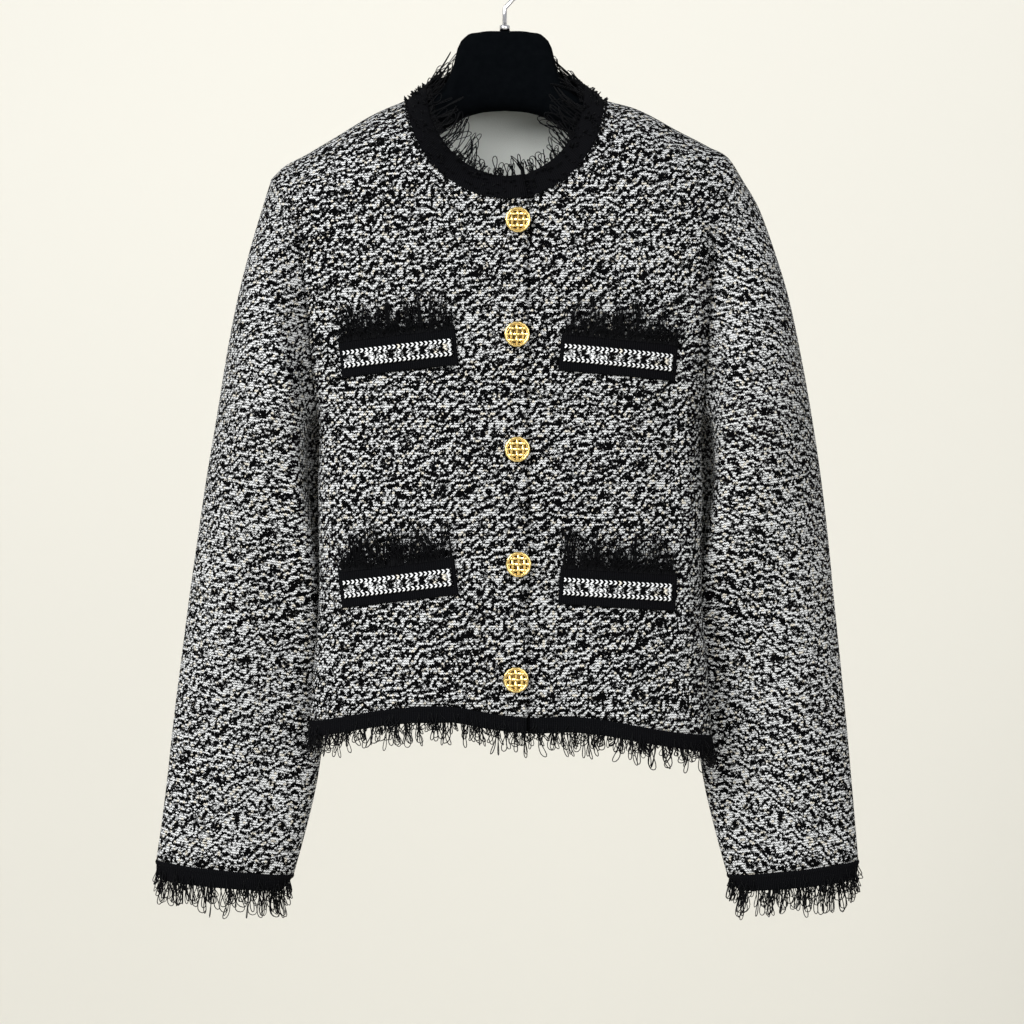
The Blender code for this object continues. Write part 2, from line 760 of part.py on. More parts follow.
def ring_stack(name, rings, finish):
    """A body through rings of points, with flat ends."""
    sides = len(rings[0])
    faces = []
    for i in range(len(rings) - 1):
        for j in range(sides):
            k = (j + 1) % sides
            faces += split_quad(
                i * sides + j, i * sides + k, (i + 1) * sides + k, (i + 1) * sides + j
            )
    faces.append(tuple(range(sides))[::-1])
    faces.append(tuple(range((len(rings) - 1) * sides, len(rings) * sides)))
    return add_solid(name, np.concatenate(rings), faces, finish)


def hanger_rings():
    """Rounded sections of the hanger from its left end to its right end."""
    turn = np.arange(HANGER_SIDES) * 2 * math.pi / HANGER_SIDES
    cos, sin = np.cos(turn), np.sin(turn)
    y = np.sign(cos) * np.abs(cos) ** (2 / HANGER_POWER)
    z = np.sign(sin) * np.abs(sin) ** (2 / HANGER_POWER)
    rings = []
    for side in (-1, 1):
        order = range(len(HANGER["out"]) - 1, -1, -1) if side < 0 else range(1, len(HANGER["out"]))
        for k in order:
            top, bottom = HANGER["top"][k], HANGER["bottom"][k]
            middle, half = (top + bottom) / 2, (bottom - top) / 2
            x = np.full(HANGER_SIDES, side * HANGER["out"][k])
            rings.append(np.stack([x, HANGER["deep"][k] * y, half * z - middle], axis=-1))
    return rings


def hook_rings():
    """Sections of the wire hook: a collar, the stem, and three quarters of a circle."""
    foot = -HANGER["top"][0] + SEAM_GAP
    low = -2 * HOOK_BEND + HOOK_WIRE
    top = foot + HOOK_COLLAR_HIGH
    line = [(0, foot), (0, top), (0, top + 1), (0, low - 7)]
    radii = [HOOK_COLLAR, HOOK_COLLAR, HOOK_WIRE, HOOK_WIRE]
    for turn in np.linspace(*HOOK_TURN, 13):
        angle = math.radians(turn)
        line.append(
            (HOOK_BEND * math.cos(angle), HOOK_WIRE - HOOK_BEND + HOOK_BEND * math.sin(angle))
        )
        radii.append(HOOK_WIRE)
    line = np.array(line)
    run = unit(np.gradient(line, axis=0))
    turn = np.arange(HOOK_SIDES) * 2 * math.pi / HOOK_SIDES
    rings = []
    for (x, z), (run_x, run_z), radius in zip(line, run, radii, strict=True):
        across = radius * np.cos(turn)
        rings.append(
            np.stack([x - across * run_z, radius * np.sin(turn), z + across * run_x], axis=-1)
        )
    return rings


# ---------------------------------------------------------------- pockets
def pocket_grid(pocket, low, high, half, rows, columns, height):
    """Points over a pocket's place on the front, height above the cloth.

    low and high are measured up from the middle of the welt, and half sideways from it.
    """
    x0, drop0, tilt = pocket
    angle = math.radians(tilt)
    across, up = np.meshgrid(np.linspace(-half, half, columns), np.linspace(high, low, rows))
    x = x0 + across * math.cos(angle) - up * math.sin(angle)
    drop = drop0 - across * math.sin(angle) - up * math.cos(angle)
    base = body_point(x, drop, "front")
    normals = outward(base, grid_normals(base), (0, 0, -drop0))
    return base + normals * height


def add_pocket(name, pocket, marl, black):
    inside = (0, 0, -pocket[1])
    low = -WELT[1] / 2 - TRIM_BELOW
    high = WELT[1] / 2 + TRIM_ABOVE
    half = WELT[0] / 2 + TRIM_SIDE
    height = POCKET_SET + TRIM_THICK
    trim = pocket_grid(pocket, low, high, half, 4, 10, height)
    Cloth("pocket_trim_" + name, trim, TRIM_THICK, inside).solid(black)
    top = height + LAYER_GAP + WELT_THICK
    strip = pocket_grid(pocket, -WELT[1] / 2, WELT[1] / 2, WELT[0] / 2, 3, 9, top)
    Cloth("pocket_welt_" + name, strip, WELT_THICK, inside).solid(marl)
    start = high + SEAM_GAP
    reach = half - POCKET_FRINGE_INSET
    rim = pocket_grid(pocket, start, start + POCKET_STRIP, reach, 2, 13, height)
    edge = Cloth("edge", rim, TRIM_THICK, inside)
    far = pocket_grid(pocket, start, start + POCKET_FRINGE, reach, 2, 13, height)
    go = unit(far[0] - far[1])[:-1]
    outer, inner = edge.outer(), edge.inner()
    seed = int(abs(pocket[0]) * 10 + pocket[1])
    lift = edge.normals[0] * FRINGE_LIFT["pocket"]
    half_strand = STRAND_HALF["pocket"]
    strands = strand_paths(outer[0], go, lift, POCKET_FRINGE, seed, half_strand)
    fringe_solid(
        "pocket_fringe_" + name, (outer[1], inner[1]), (outer[0], inner[0]), strands, black
    )


# ---------------------------------------------------------------- the whole
def band_rows(edge, steps):
    """The rows of a band: its seam line, and the same line moved by each of steps."""
    return np.array([edge] + [edge + step for step in steps])


def hem_steps(line, from_under):
    """How the hem band runs on below its seam: straight down on the body's own form."""
    x, drop = line[:, 0], -line[:, 2]
    steps = []
    for below in (HEM_RIB, HEM_RIB + STRIP):
        moved = np.zeros_like(line)
        for face in ("front", "back"):
            chosen = from_under[face]
            now = body_point(x[chosen], drop[chosen], face)
            moved[chosen] = body_point(x[chosen], drop[chosen] + below, face) - now
        steps.append(moved)
    return steps


def neck_steps(line):
    """How the neck band leans in from its seam."""
    aim = np.array(NECK_AIM) - line
    aim[:, 2] += smooth(line[:, 1], NECK_LEAN["y"], NECK_LEAN["lift"])
    go = unit(aim)
    width = smooth(line[:, 1], NECK_LEAN["y"], NECK_LEAN["width"])[:, None]
    return [go * width * 0.5, go * width, go * (width + STRIP)], go


def main():
    for old in list(bpy.data.objects):
        bpy.data.objects.remove(old)
    marl = material("marled_knit", MARL, 0.9)
    black = material("black_yarn", BLACK_YARN, 0.85)
    grey = material("grey_lining", GREY_CLOTH, 0.7)
    gold = material("gold_metal", GOLD, 0.25, 1.0)
    flock = material("black_flock", FLOCK, 0.95)
    steel = material("hook_steel", STEEL, 0.3, 1.0)

    left_grid = front_grid(-1, FRONT_EDGE, None)
    right_grid = front_grid(1, UNDER_EDGE, UNDER_RAMP)
    right_normals = body_normals(right_grid, "front")
    sunk = step_under(right_grid, right_normals)
    sunk[:, -1] = right_grid[:, -1]
    sunk[0, NECK_BANDS:] = right_grid[0, NECK_BANDS:]
    behind = back_grid()

    left = Cloth(
        "front_left", left_grid, KNIT, CHEST_INSIDE, normals=body_normals(left_grid, "front")
    )
    right = Cloth("front_right", sunk, KNIT, CHEST_INSIDE, normals=right_normals)
    back = Cloth("back", behind, KNIT, CHEST_INSIDE, normals=body_normals(behind, "back"))
    pieces = [left, right, back]

    sleeves = []
    for name, side, front, column in (("left", -1, left, 0), ("right", 1, right, -1)):
        down = front.grid[: ARMHOLE_BANDS + 1, -1]
        up = back.grid[ARMHOLE_BANDS - 1 : 0 : -1, column]
        grid, edge = sleeve_grid(side, np.concatenate([down, up]))
        inside = np.array(SLEEVE_INSIDE) * (side, 1, 1)
        sleeve = Cloth("sleeve_" + name, grid, KNIT, inside, wrap=True)
        cuff_middle = grid[-1].mean(axis=0)
        hang = np.array([0, 0, -STRIP])
        cuff = Cloth("cuff_band_" + name, np.array([grid[-1], edge]), RIB, cuff_middle, wrap=True)
        fringe = Cloth("fringe", np.array([edge, edge + hang]), RIB, cuff_middle, wrap=True)
        sleeves.append((name, sleeve, cuff, fringe))
        pieces += [sleeve, cuff, fringe]

    neck_line = np.concatenate(
        [
            left.grid[0, : NECK_BANDS + 1],
            back.grid[0, SHOULDER_BANDS + 1 : SHOULDER_BANDS + NECK_BANDS + 1],
            right.grid[0, NECK_BANDS - 1 : 0 : -1],
        ]
    )
    steps, lean = neck_steps(neck_line)
    neck_rows = band_rows(neck_line, steps)
    neck = Cloth("neck_band", neck_rows[:3], RIB, NECK_INSIDE)
    neck_edge = Cloth("fringe", neck_rows[2:], RIB, NECK_INSIDE)

    columns = NECK_BANDS + SHOULDER_BANDS
    hem_line = np.concatenate([left.grid[-1], back.grid[-1, 1:], right.grid[-1, -2:0:-1]])
    spot = np.arange(len(hem_line))
    on_back = (spot > columns) & (spot < len(hem_line) - columns)
    hem_rows = band_rows(hem_line, hem_steps(hem_line, {"front": ~on_back, "back": on_back}))
    hem = Cloth("hem_band", hem_rows[:2], RIB, HEM_INSIDE)
    hem_edge = Cloth("fringe", hem_rows[1:], RIB, HEM_INSIDE)
    pieces += [neck, neck_edge, hem, hem_edge]

    share_normals(pieces)

    for front in (left, right):
        front.seam(np.s_[0, :], np.s_[2, :])
        front.seam(np.s_[-1, :], np.s_[-3, :])
        front.seam(np.s_[:, -1], np.s_[:, -3])
    back.seam(np.s_[0, :], np.s_[2, :])
    back.seam(np.s_[-1, :], np.s_[-3, :])
    back.seam(np.s_[:, 0], np.s_[:, 2])
    back.seam(np.s_[:, -1], np.s_[:, -3])
    for _, sleeve, cuff, fringe in sleeves:
        sleeve.seam(np.s_[0, :], np.s_[2, :], closed=True, share=1.5)
        sleeve.seam(np.s_[-1, :], np.s_[-2, :], closed=True)
        cuff.seam(np.s_[0, :], np.s_[1, :], closed=True)
        cuff.seam(np.s_[-1, :], np.s_[0, :], closed=True)
        fringe.seam(np.s_[0, :], np.s_[1, :], closed=True)
    for band, edge in ((neck, neck_edge), (hem, hem_edge)):
        band.seam(np.s_[0, :], np.s_[1, :])
        band.seam(np.s_[-1, :], np.s_[-2, :])
        edge.seam(np.s_[0, :], np.s_[1, :])

    for piece in (left, right, back):
        piece.solid(marl)
    for band in (neck, hem):
        band.solid(black)

    lining_rows, lining_columns = np.s_[1:10], np.s_[4:-4]
    face = back.inner(KNIT + LAYER_GAP)[lining_rows, lining_columns]
    straight = back.normals[lining_rows, lining_columns]
    lining = Cloth("lining_back", face, LINING, CHEST_INSIDE, normals=straight)
    lining.solid(grey)

    for name, sleeve, cuff, fringe in sleeves:
        sleeve.solid(marl)
        cuff.solid(black)
        outer, inner = fringe.outer(), fringe.inner()
        count = outer.shape[1]
        go = np.tile([0.0, 0.0, -1.0], (count, 1))
        closed = np.concatenate([outer[1], outer[1][:1]])
        lift = fringe.normals[1] * FRINGE_LIFT["cuff"]
        seed, half = FRINGE_SEED["cuff"], STRAND_HALF["cuff"]
        strands = strand_paths(closed, go, lift, CUFF_FRINGE, seed, half)
        fringe_solid(
            "cuff_fringe_" + name, (outer[0], inner[0]), (outer[1], inner[1]), strands, black, True
        )

    outer, inner = hem_edge.outer(), hem_edge.inner()
    go = np.tile([0.0, 0.0, -1.0], (outer.shape[1], 1))
    lift = hem_edge.normals[1] * FRINGE_LIFT["hem"]
    seed, half = FRINGE_SEED["hem"], STRAND_HALF["hem"]
    strands = strand_paths(outer[1], go, lift, HEM_FRINGE, seed, half)
    fringe_solid("hem_fringe", (outer[0], inner[0]), (outer[1], inner[1]), strands, black)

    outer, inner = neck_edge.outer(), neck_edge.inner()
    rise = lean.copy()
    rise[:, 1] = np.minimum(rise[:, 1], 0)
    lift = neck_edge.normals[1] * FRINGE_LIFT["neck"]
    seed, half = FRINGE_SEED["neck"], STRAND_HALF["neck"]
    strands = strand_paths(outer[1], unit(rise), lift, NECK_FRINGE, seed, half)
    fringe_solid("neck_fringe", (outer[0], inner[0]), (outer[1], inner[1]), strands, black)

    for name, pocket in POCKETS.items():
        add_pocket(name, pocket, marl, black)

    for k, x in enumerate(BUTTON_X):
        drop = BUTTON_FIRST + k * BUTTON_STEP
        place = body_point(x, drop, "front")
        turned_solid(
            f"button_{k + 1}",
            BUTTON_PROFILE["radius"],
            BUTTON_PROFILE["out"],
            BUTTON_SIDES,
            gold,
            place,
        )

    ring_stack("hanger", hanger_rings(), flock)
    ring_stack("hook", hook_rings(), steel)


main()
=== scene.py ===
"""Cropped marled knit jacket on a padded hanger: its looks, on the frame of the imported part."""

import math

import bpy
import numpy as np
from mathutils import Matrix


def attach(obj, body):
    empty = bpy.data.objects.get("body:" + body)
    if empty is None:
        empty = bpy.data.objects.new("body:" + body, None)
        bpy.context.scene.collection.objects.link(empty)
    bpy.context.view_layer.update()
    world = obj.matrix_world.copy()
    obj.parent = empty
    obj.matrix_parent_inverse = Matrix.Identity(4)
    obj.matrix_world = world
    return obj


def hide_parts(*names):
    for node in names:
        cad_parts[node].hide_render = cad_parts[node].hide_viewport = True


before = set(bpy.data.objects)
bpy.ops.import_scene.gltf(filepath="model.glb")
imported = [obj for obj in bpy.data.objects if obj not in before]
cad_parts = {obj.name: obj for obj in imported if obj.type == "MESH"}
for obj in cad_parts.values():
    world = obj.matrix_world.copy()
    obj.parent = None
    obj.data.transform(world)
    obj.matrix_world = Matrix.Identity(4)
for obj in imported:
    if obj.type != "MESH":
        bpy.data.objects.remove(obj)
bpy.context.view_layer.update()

# ------------------------ camera
# A normal lens, level and square to the front, 1.8 m away and as high as the lower chest.
def new_object(name, data):
    """Puts a camera, lamp or mesh into the scene as an object."""
    made = bpy.data.objects.new(name, data)
    bpy.context.scene.collection.objects.link(made)
    return made


eye = new_object("camera", bpy.data.cameras.new("camera"))
eye.location = (0.0064, -1.800, -0.4902)
eye.rotation_euler = (math.radians(90), 0, 0)
eye.data.lens = 71.92
eye.data.sensor_width = 36
bpy.context.scene.camera = eye
bpy.context.scene.view_settings.view_transform = "Standard"


# ------------------------ wall, floor and light
# A plain pale wall and floor, lit by a wide soft light from the left, as from a window, a
# weaker one from the right and one along the wall, as a small studio has it.
cream = bpy.data.materials.new("cream_wall")
cream.use_nodes = True
shader = cream.node_tree.nodes["Principled BSDF"].inputs
shader["Base Color"].default_value = (0.735, 0.717, 0.656, 1)
shader["Roughness"].default_value = 0.9


def flat_board(name, corners):
    """A flat board between four corners, in metres."""
    mesh = bpy.data.meshes.new(name)
    mesh.from_pydata(corners, [], [(0, 1, 2, 3)])
    mesh.materials.append(cream)
    return new_object(name, mesh)


wall = flat_board("wall", [(-9, 3, -2.2), (9, 3, -2.2), (9, 3, 8), (-9, 3, 8)])
floor = flat_board("floor", [(-9, -9, -2.2), (9, -9, -2.2), (9, 3, -2.2), (-9, 3, -2.2)])


def soft_light(name, place, aim, size, power):
    """A soft lamp of a size in metres, raised and turned by the angles that face it to aim."""
    lamp = bpy.data.lights.new(name, "AREA")
    lamp.shape = "RECTANGLE"
    lamp.size, lamp.size_y = size
    lamp.energy = power
    made = new_object(name, lamp)
    made.location = place
    away = np.array(place, float) - np.array(aim, float)
    level = math.hypot(away[0], away[1])
    made.rotation_euler = (math.atan2(level, away[2]), 0, math.atan2(away[0], -away[1]))


soft_light("window", (-2.2, -2.8, 1.2), (0, 0, -0.4), (2.0, 2.0), 190)
soft_light("right_fill", (1.4, -3.4, 0.3), (0, 0, -0.4), (2.0, 2.0), 66)
soft_light("wall_wash", (0.6, 1.0, 2.2), (0.3, 3, -0.8), (4, 1.5), 20)
world = bpy.data.worlds.new("room")
world.use_nodes = True
world.node_tree.nodes["Background"].inputs[0].default_value = (0.97, 0.985, 1.0, 1)
world.node_tree.nodes["Background"].inputs[1].default_value = 0.55
bpy.context.scene.world = world


# ------------------------ fronts and back
# Three panels of marled knit: two strands, one black and one white, run together, so the
# colour changes from stitch to stitch. They are knitted to shape, 2.2 mm thick, linked at
# the shoulders and sides, and hang from the hanger's shoulders. Sizes are in millimetres.
KNIT = 2.2
NECK_HALF, NECK_TOP, NECK_DEPTH, BACK_NECK = 86.0, 128.0, 95.0, 119.0
SHOULDER_HALF, SHOULDER_DROP, UNDERARM = 207.0, 198.0, 405.0
ROLL = 72.0  # height over which the shoulder rolls over to the chest
HALF_WIDE, HALF_DEEP, ROLL_DEEP = 168, 56, 55  # the body's mean half width and depths, for its cut
FRONT_EDGE, UNDER_EDGE, UNDER_RAMP, UNDER_DEPTH = 19.2, 0.0, (21.0, 29.0), 3.6
FINE = 5  # grid steps for each one of the solids
NECK_BANDS, SHOULDER_BANDS, ARMHOLE_BANDS, SIDE_BANDS = 9 * FINE, 6 * FINE, 11 * FINE, 9 * FINE


def table(names, rows):
    """A short table as a dictionary of its named columns."""
    return dict(zip(names.split(), np.array(rows, float).T, strict=True))


RIDGE = table("out left right", [
    (0, 101, 101), (45, 108, 108), (86, 128, 128), (114, 140, 136), (153, 163, 156.5),
    (177, 177, 169), (197, 188, 181.5), (207, 198, 198),
])
BODY = table("drop half front back side", [
    (95, 236, 40, 46, 0), (198, 226, 53, 56, 0), (250, 213, 58, 60, 0), (300, 200, 61, 63, 0),
    (350, 186, 61, 65, 0), (405, 169.5, 59, 67, -2), (475, 168, 54, 70, -7),
    (570, 167, 51, 72, -12), (640, 172.5, 51, 74, -14), (673, 174.5, 52, 75, -15),
    (720, 176, 52, 75, -15),
])
POWER = {"front": 3.0, "back": 2.5}
ARMHOLE = table("drop out", [
    (198, 207), (212, 196), (235, 184), (270, 178.5), (320, 174), (370, 171), (405, 169.5),
])
HEM = {
    "front": table("x drop", [
        (-169, 671), (-133, 664), (-90, 657), (-46, 655), (-8, 661.5), (20, 664.5), (60, 664),
        (107, 670.5), (140, 677), (179.5, 683),
    ]),
    "back": table("x drop", [
        (-169, 671), (-90, 668), (5, 670), (95, 676), (179.5, 683),
    ]),
}
# Each crease runs from its first to its second end; height is what it stands out at most.
CREASES = {
    "front": table("x0 drop0 x1 drop1 width height", [
        (-150, 300, -128, 560, 15, -4), (-138, 420, -150, 700, 12, 3.5),
        (-20, 400, -60, 760, 26, 3), (-112, 560, -104, 780, 16, -3.5),
        (152, 300, 135, 560, 15, -4), (150, 430, 158, 720, 12, 3.5), (62, 470, 44, 780, 24, -3),
        (112, 560, 122, 780, 18, 3.5), (-168, 372, -118, 432, 6, -1.5),
        (-165, 350, -126, 388, 5, 1.2), (172, 368, 124, 424, 6, -1.5),
        (168, 345, 132, 380, 5, 1.2), (-78, 500, -66, 735, 9, 1.3), (-34, 430, -24, 620, 8, -1.1),
        (36, 300, 52, 500, 9, -1.1), (84, 585, 92, 760, 8, -1.4), (-126, 250, -96, 330, 8, 1.1),
        (132, 245, 104, 320, 8, 1.1), (-181, 215, -166, 465, 7, -22), (184, 215, 170, 465, 7, -22),
        (-157, 330, -155, 610, 9, 5), (159, 330, 158, 610, 9, 5),
    ]),
    "back": table("x0 drop0 x1 drop1 width height", [
        (-140, 320, -96, 620, 16, -4.5), (-96, 430, -110, 780, 18, 4),
        (-46, 300, -30, 560, 26, -3), (-24, 480, -42, 780, 20, 3.5), (34, 420, 46, 780, 22, -4),
        (100, 400, 84, 780, 20, 4.5), (142, 320, 122, 640, 16, -4.5),
        (-164, 360, -110, 440, 6, -1.5), (166, 352, 116, 428, 6, -1.5),
        (-66, 560, -76, 760, 9, -1.3), (8, 330, 2, 640, 10, 1.2), (66, 540, 60, 745, 8, 1.3),
    ]),
}


def stacked(*parts):
    """Points from the arrays of their coordinates."""
    return np.stack(parts, axis=-1)


def smooth(at, xs, ys):
    """A cubic curve through the rows of a table at xs, level beyond its ends."""
    at = np.clip(at, xs[0], xs[-1])
    slopes = np.gradient(ys, xs, axis=0)
    i = np.clip(np.searchsorted(xs, at, side="right") - 1, 0, len(xs) - 2)
    wide = xs[i + 1] - xs[i]
    t = (at - xs[i]) / wide
    if ys.ndim > 1:
        t, wide = (a.reshape(-1, *[1] * (ys.ndim - 1)) for a in (t, wide))
    rise = (1 + 2 * t) * (1 - t) ** 2 * ys[i] + t * t * (3 - 2 * t) * ys[i + 1]
    return rise + t * (1 - t) * wide * ((1 - t) * slopes[i] - t * slopes[i + 1])


def unit(vectors):
    """Vectors divided by their lengths."""
    return vectors / np.maximum(np.linalg.norm(vectors, axis=-1, keepdims=True), 1e-9)


def centre(drop):
    """The jacket's middle line, a little off the hook's plumb line."""
    return np.interp(drop, (130, 420), (0.7, 5.0))


def ridge(side):
    """The drop of the shoulder's ridge, by signed distance from the middle line."""
    left, right = (smooth(np.abs(side), RIDGE["out"], RIDGE[name]) for name in ("left", "right"))
    return np.where(side < 0, left, right)


def body(drop, column):
    """A column of BODY at a drop."""
    return smooth(drop, BODY["drop"], BODY[column])


def crease_height(x, drop, rows):
    """Sum over the creases: height, times a sine along each, times a bell across it."""
    total = np.zeros_like(x)
    for x0, drop0, x1, drop1, width, height in zip(*rows.values(), strict=True):
        run_x, run_drop = x1 - x0, drop1 - drop0
        length = math.hypot(run_x, run_drop)
        along = ((x - x0) * run_x + (drop - drop0) * run_drop) / length**2
        beside = ((x - x0) * run_drop - (drop - drop0) * run_x) / length
        total += height * np.sin(np.pi * np.clip(along, 0, 1)) * np.exp(-((beside / width) ** 2))
    return total


def body_point(x, drop, face):
    """A point on the outside of the body: a superellipse across, a quarter arch down from the
    shoulder's ridge, and the creases on top of both."""
    x, drop = np.broadcast_arrays(np.asarray(x, float), np.asarray(drop, float))
    out = np.abs(x - centre(drop))
    power = POWER[face]
    across = (1 - np.minimum(out / body(drop, "half"), 1) ** power) ** (1 / power)
    arch = np.sqrt(1 - (1 - np.clip((drop - ridge(x - centre(drop))) / ROLL, 0, 1)) ** 2)
    depth = (body(drop, face) + crease_height(x, drop, CREASES[face])) * across * arch
    sign = -1 if face == "front" else 1
    return stacked(x, body(drop, "side") + sign * depth, -drop)


def body_normals(grid, face):
    """Normals of the body's form from its slopes 1 mm to either side."""
    x, drop = grid[..., 0], -grid[..., 2]
    by_x = body_point(x + 1, drop, face) - body_point(x - 1, drop, face)
    by_drop = body_point(x, drop + 1, face) - body_point(x, drop - 1, face)
    normals = unit(stacked(by_x[..., 1], np.full(x.shape, -2.0), -by_drop[..., 1]))
    return normals if face == "front" else -normals


def running(steps):
    """The sums of the first so many steps, from none to all."""
    return np.concatenate([[0], np.cumsum(steps)])


def way_along(line):
    """The way along a line of points up to each of them."""
    return running(np.linalg.norm(np.diff(line, axis=0), axis=-1))


def body_cloth(grid, face):
    """Where the points of a panel lie in its flat cut: the distance from the middle line and
    down from the shoulder, both measured over the curved form."""
    x, drop = grid[..., 0], -grid[..., 2]
    t = np.linspace(0, 1, 400)
    power = POWER[face]
    rim = (1 - t**power) ** (1 / power)
    extra = running(np.hypot(np.diff(t) * HALF_WIDE, np.diff(rim) * HALF_DEEP)) - HALF_WIDE * t
    arch = np.sqrt(1 - (1 - t) ** 2)
    rolled_way = running(np.hypot(np.diff(t) * ROLL, np.diff(arch) * ROLL_DEEP))
    side = x - centre(drop)
    u = side + np.sign(side) * np.interp(np.abs(side) / body(drop, "half"), t, extra)
    q = np.clip((drop - ridge(side)) / ROLL, 0, 1)
    v = drop + ROLL * (1 - q) - (rolled_way[-1] - np.interp(q, t, rolled_way))
    return stacked(u, -v)


def lead_in(stops, rest):
    """FINE even steps from each stop to the next, then the rest."""
    lead = [np.linspace(a, b, FINE, endpoint=False) for a, b in zip(stops, stops[1:], strict=False)]
    return np.concatenate([*lead, rest])


def neck_columns(first_x, ramp):
    """x and drop of the front neck seam from a button edge round to the shoulder seam."""
    stops = [math.asin(place / NECK_HALF) for place in (first_x, *ramp)]
    rest = np.sin(np.linspace(0, math.pi / 2, NECK_BANDS - FINE * len(ramp) + 1))
    turn = lead_in(stops, stops[-1] + (math.pi / 2 - stops[-1]) * rest)
    return NECK_HALF * np.sin(turn), NECK_TOP + NECK_DEPTH * np.cos(turn)


def edge_line(side, face):
    """The outer edge of a panel: the armhole from the shoulder tip, then the side seam."""
    turn = np.linspace(0, math.pi, ARMHOLE_BANDS + 1)
    drop = (SHOULDER_DROP + UNDERARM) / 2 - (UNDERARM - SHOULDER_DROP) / 2 * np.cos(turn)
    out = smooth(drop, ARMHOLE["drop"], ARMHOLE["out"])
    sewn = body_point(centre(drop) + side * out, drop, face)
    sewn[0, 1] = body(SHOULDER_DROP, "side")
    drop = np.linspace(UNDERARM, HEM["front"]["drop"][0 if side < 0 else -1], SIDE_BANDS + 1)
    below = body_point(centre(drop) + side * body(drop, "half"), drop, "front")
    below[:, 1] = body(drop, "side")
    return np.concatenate([sewn[:-1], below])


def fall(line):
    """How far down an edge each of its points lies, from 0 to 1."""
    return (line[:, 2] - line[0, 2]) / (line[-1, 2] - line[0, 2])


def patch(top, bottom, near, far, face):
    """A panel between its four edges: each column is a straight blend from top to bottom, takes
    up the armhole's curve where it is under the shoulder, and gets its depth from the form."""
    v = fall(far)[:, None]
    share = np.clip(1 - np.arange(len(top))[::-1] / SHOULDER_BANDS, 0, 1) ** 1.5
    flat = []
    for place in (0, 2):
        line = (1 - v) * top[:, place] + v * bottom[:, place]
        for edge, part in ((near[:, place], share[::-1]), (far[:, place], share)):
            line += (edge[:, None] - (1 - v) * edge[0] - v * edge[-1]) * part
        flat.append(line)
    grid = body_point(flat[0], -flat[1], face)
    grid[0], grid[-1], grid[:, 0], grid[:, -1] = top, bottom, near, far
    return grid


def front_grid(side, first_x, ramp):
    """One front, from its button edge to its side seam."""
    neck_x, neck_drop = neck_columns(side * (first_x - centre(NECK_TOP)), ramp)
    shoulder_x = side * np.linspace(NECK_HALF, SHOULDER_HALF, SHOULDER_BANDS + 1)[1:]
    drop = np.concatenate([neck_drop, ridge(shoulder_x)])
    x = centre(drop) + np.concatenate([side * neck_x, shoulder_x])
    top = body_point(x, drop, "front")
    top[NECK_BANDS:, 1] = body(drop[NECK_BANDS:], "side")
    far = edge_line(side, "front")
    top[-1] = far[0]
    columns = NECK_BANDS + SHOULDER_BANDS
    wide = side * (far[-1, 0] - first_x)
    stops = [0.0, *((place - side * first_x) / wide for place in ramp)]
    rest = np.sin(np.linspace(0, math.pi / 2, columns - FINE * len(ramp) + 1))
    across = lead_in(stops, stops[-1] + (1 - stops[-1]) * rest)
    foot_x = first_x + across * (far[-1, 0] - first_x)
    bottom = body_point(foot_x, smooth(foot_x, HEM["front"]["x"], HEM["front"]["drop"]), "front")
    bottom[-1] = far[-1]
    near = body_point(first_x, drop[0] - fall(far) * (bottom[0, 2] + drop[0]), "front")
    near[0], near[-1] = top[0], bottom[0]
    return patch(top, bottom, near, far, "front")


def back_grid():
    """The back, from the left side seam to the right one."""
    shoulder_x = np.linspace(NECK_HALF, SHOULDER_HALF, SHOULDER_BANDS + 1)[1:]
    inside = -np.cos(np.linspace(0, math.pi, NECK_BANDS + 1))
    neck_drop = BACK_NECK + (NECK_TOP - BACK_NECK) * np.abs(inside) ** 2.5
    out = np.concatenate([-shoulder_x[::-1], inside * NECK_HALF, shoulder_x])
    drop = np.concatenate([ridge(-shoulder_x)[::-1], neck_drop, ridge(shoulder_x)])
    top = body_point(centre(drop) + out, drop, "back")
    sewn = np.abs(out) >= NECK_HALF - 1e-6
    top[sewn, 1] = body(drop[sewn], "side")
    near, far = edge_line(-1, "back"), edge_line(1, "back")
    top[0], top[-1] = near[0], far[0]
    across = (1 - np.cos(np.linspace(0, math.pi, len(top)))) / 2
    foot_x = near[-1, 0] + across * (far[-1, 0] - near[-1, 0])
    bottom = body_point(foot_x, smooth(foot_x, HEM["back"]["x"], HEM["back"]["drop"]), "back")
    bottom[0], bottom[-1] = near[-1], far[-1]
    return patch(top, bottom, near, far, "back")


def step_under(grid, normals):
    """Moves the under front in by UNDER_DEPTH, with a soft step, where the upper one lies on it."""
    start, end = UNDER_RAMP
    t = np.clip((end - grid[..., 0]) / (end - start), 0, 1)
    near = np.abs(normals[..., 1]) > 0.2
    return grid - normals * (UNDER_DEPTH * t * t * (3 - 2 * t) * near)[..., None]


def put_in(name, points, faces, finish, uv=None):
    """An object from points in millimetres and whole arrays of four-sided faces."""
    mesh = bpy.data.meshes.new(name)
    mesh.vertices.add(len(points))
    mesh.vertices.foreach_set("co", (np.asarray(points) * 0.001).ravel())
    mesh.loops.add(faces.size)
    mesh.loops.foreach_set("vertex_index", faces.ravel().astype(np.int32))
    mesh.polygons.add(len(faces))
    mesh.polygons.foreach_set("loop_start", np.arange(0, faces.size, 4, dtype=np.int32))
    if uv is not None:
        layer = mesh.uv_layers.new(name="cut")
        layer.data.foreach_set("uv", (uv.reshape(-1, 2) * 0.001).ravel())
    mesh.update(calc_edges=True)
    mesh.polygons.foreach_set("use_smooth", np.ones(len(faces), bool))
    mesh.materials.append(finish)
    return new_object(name, mesh)


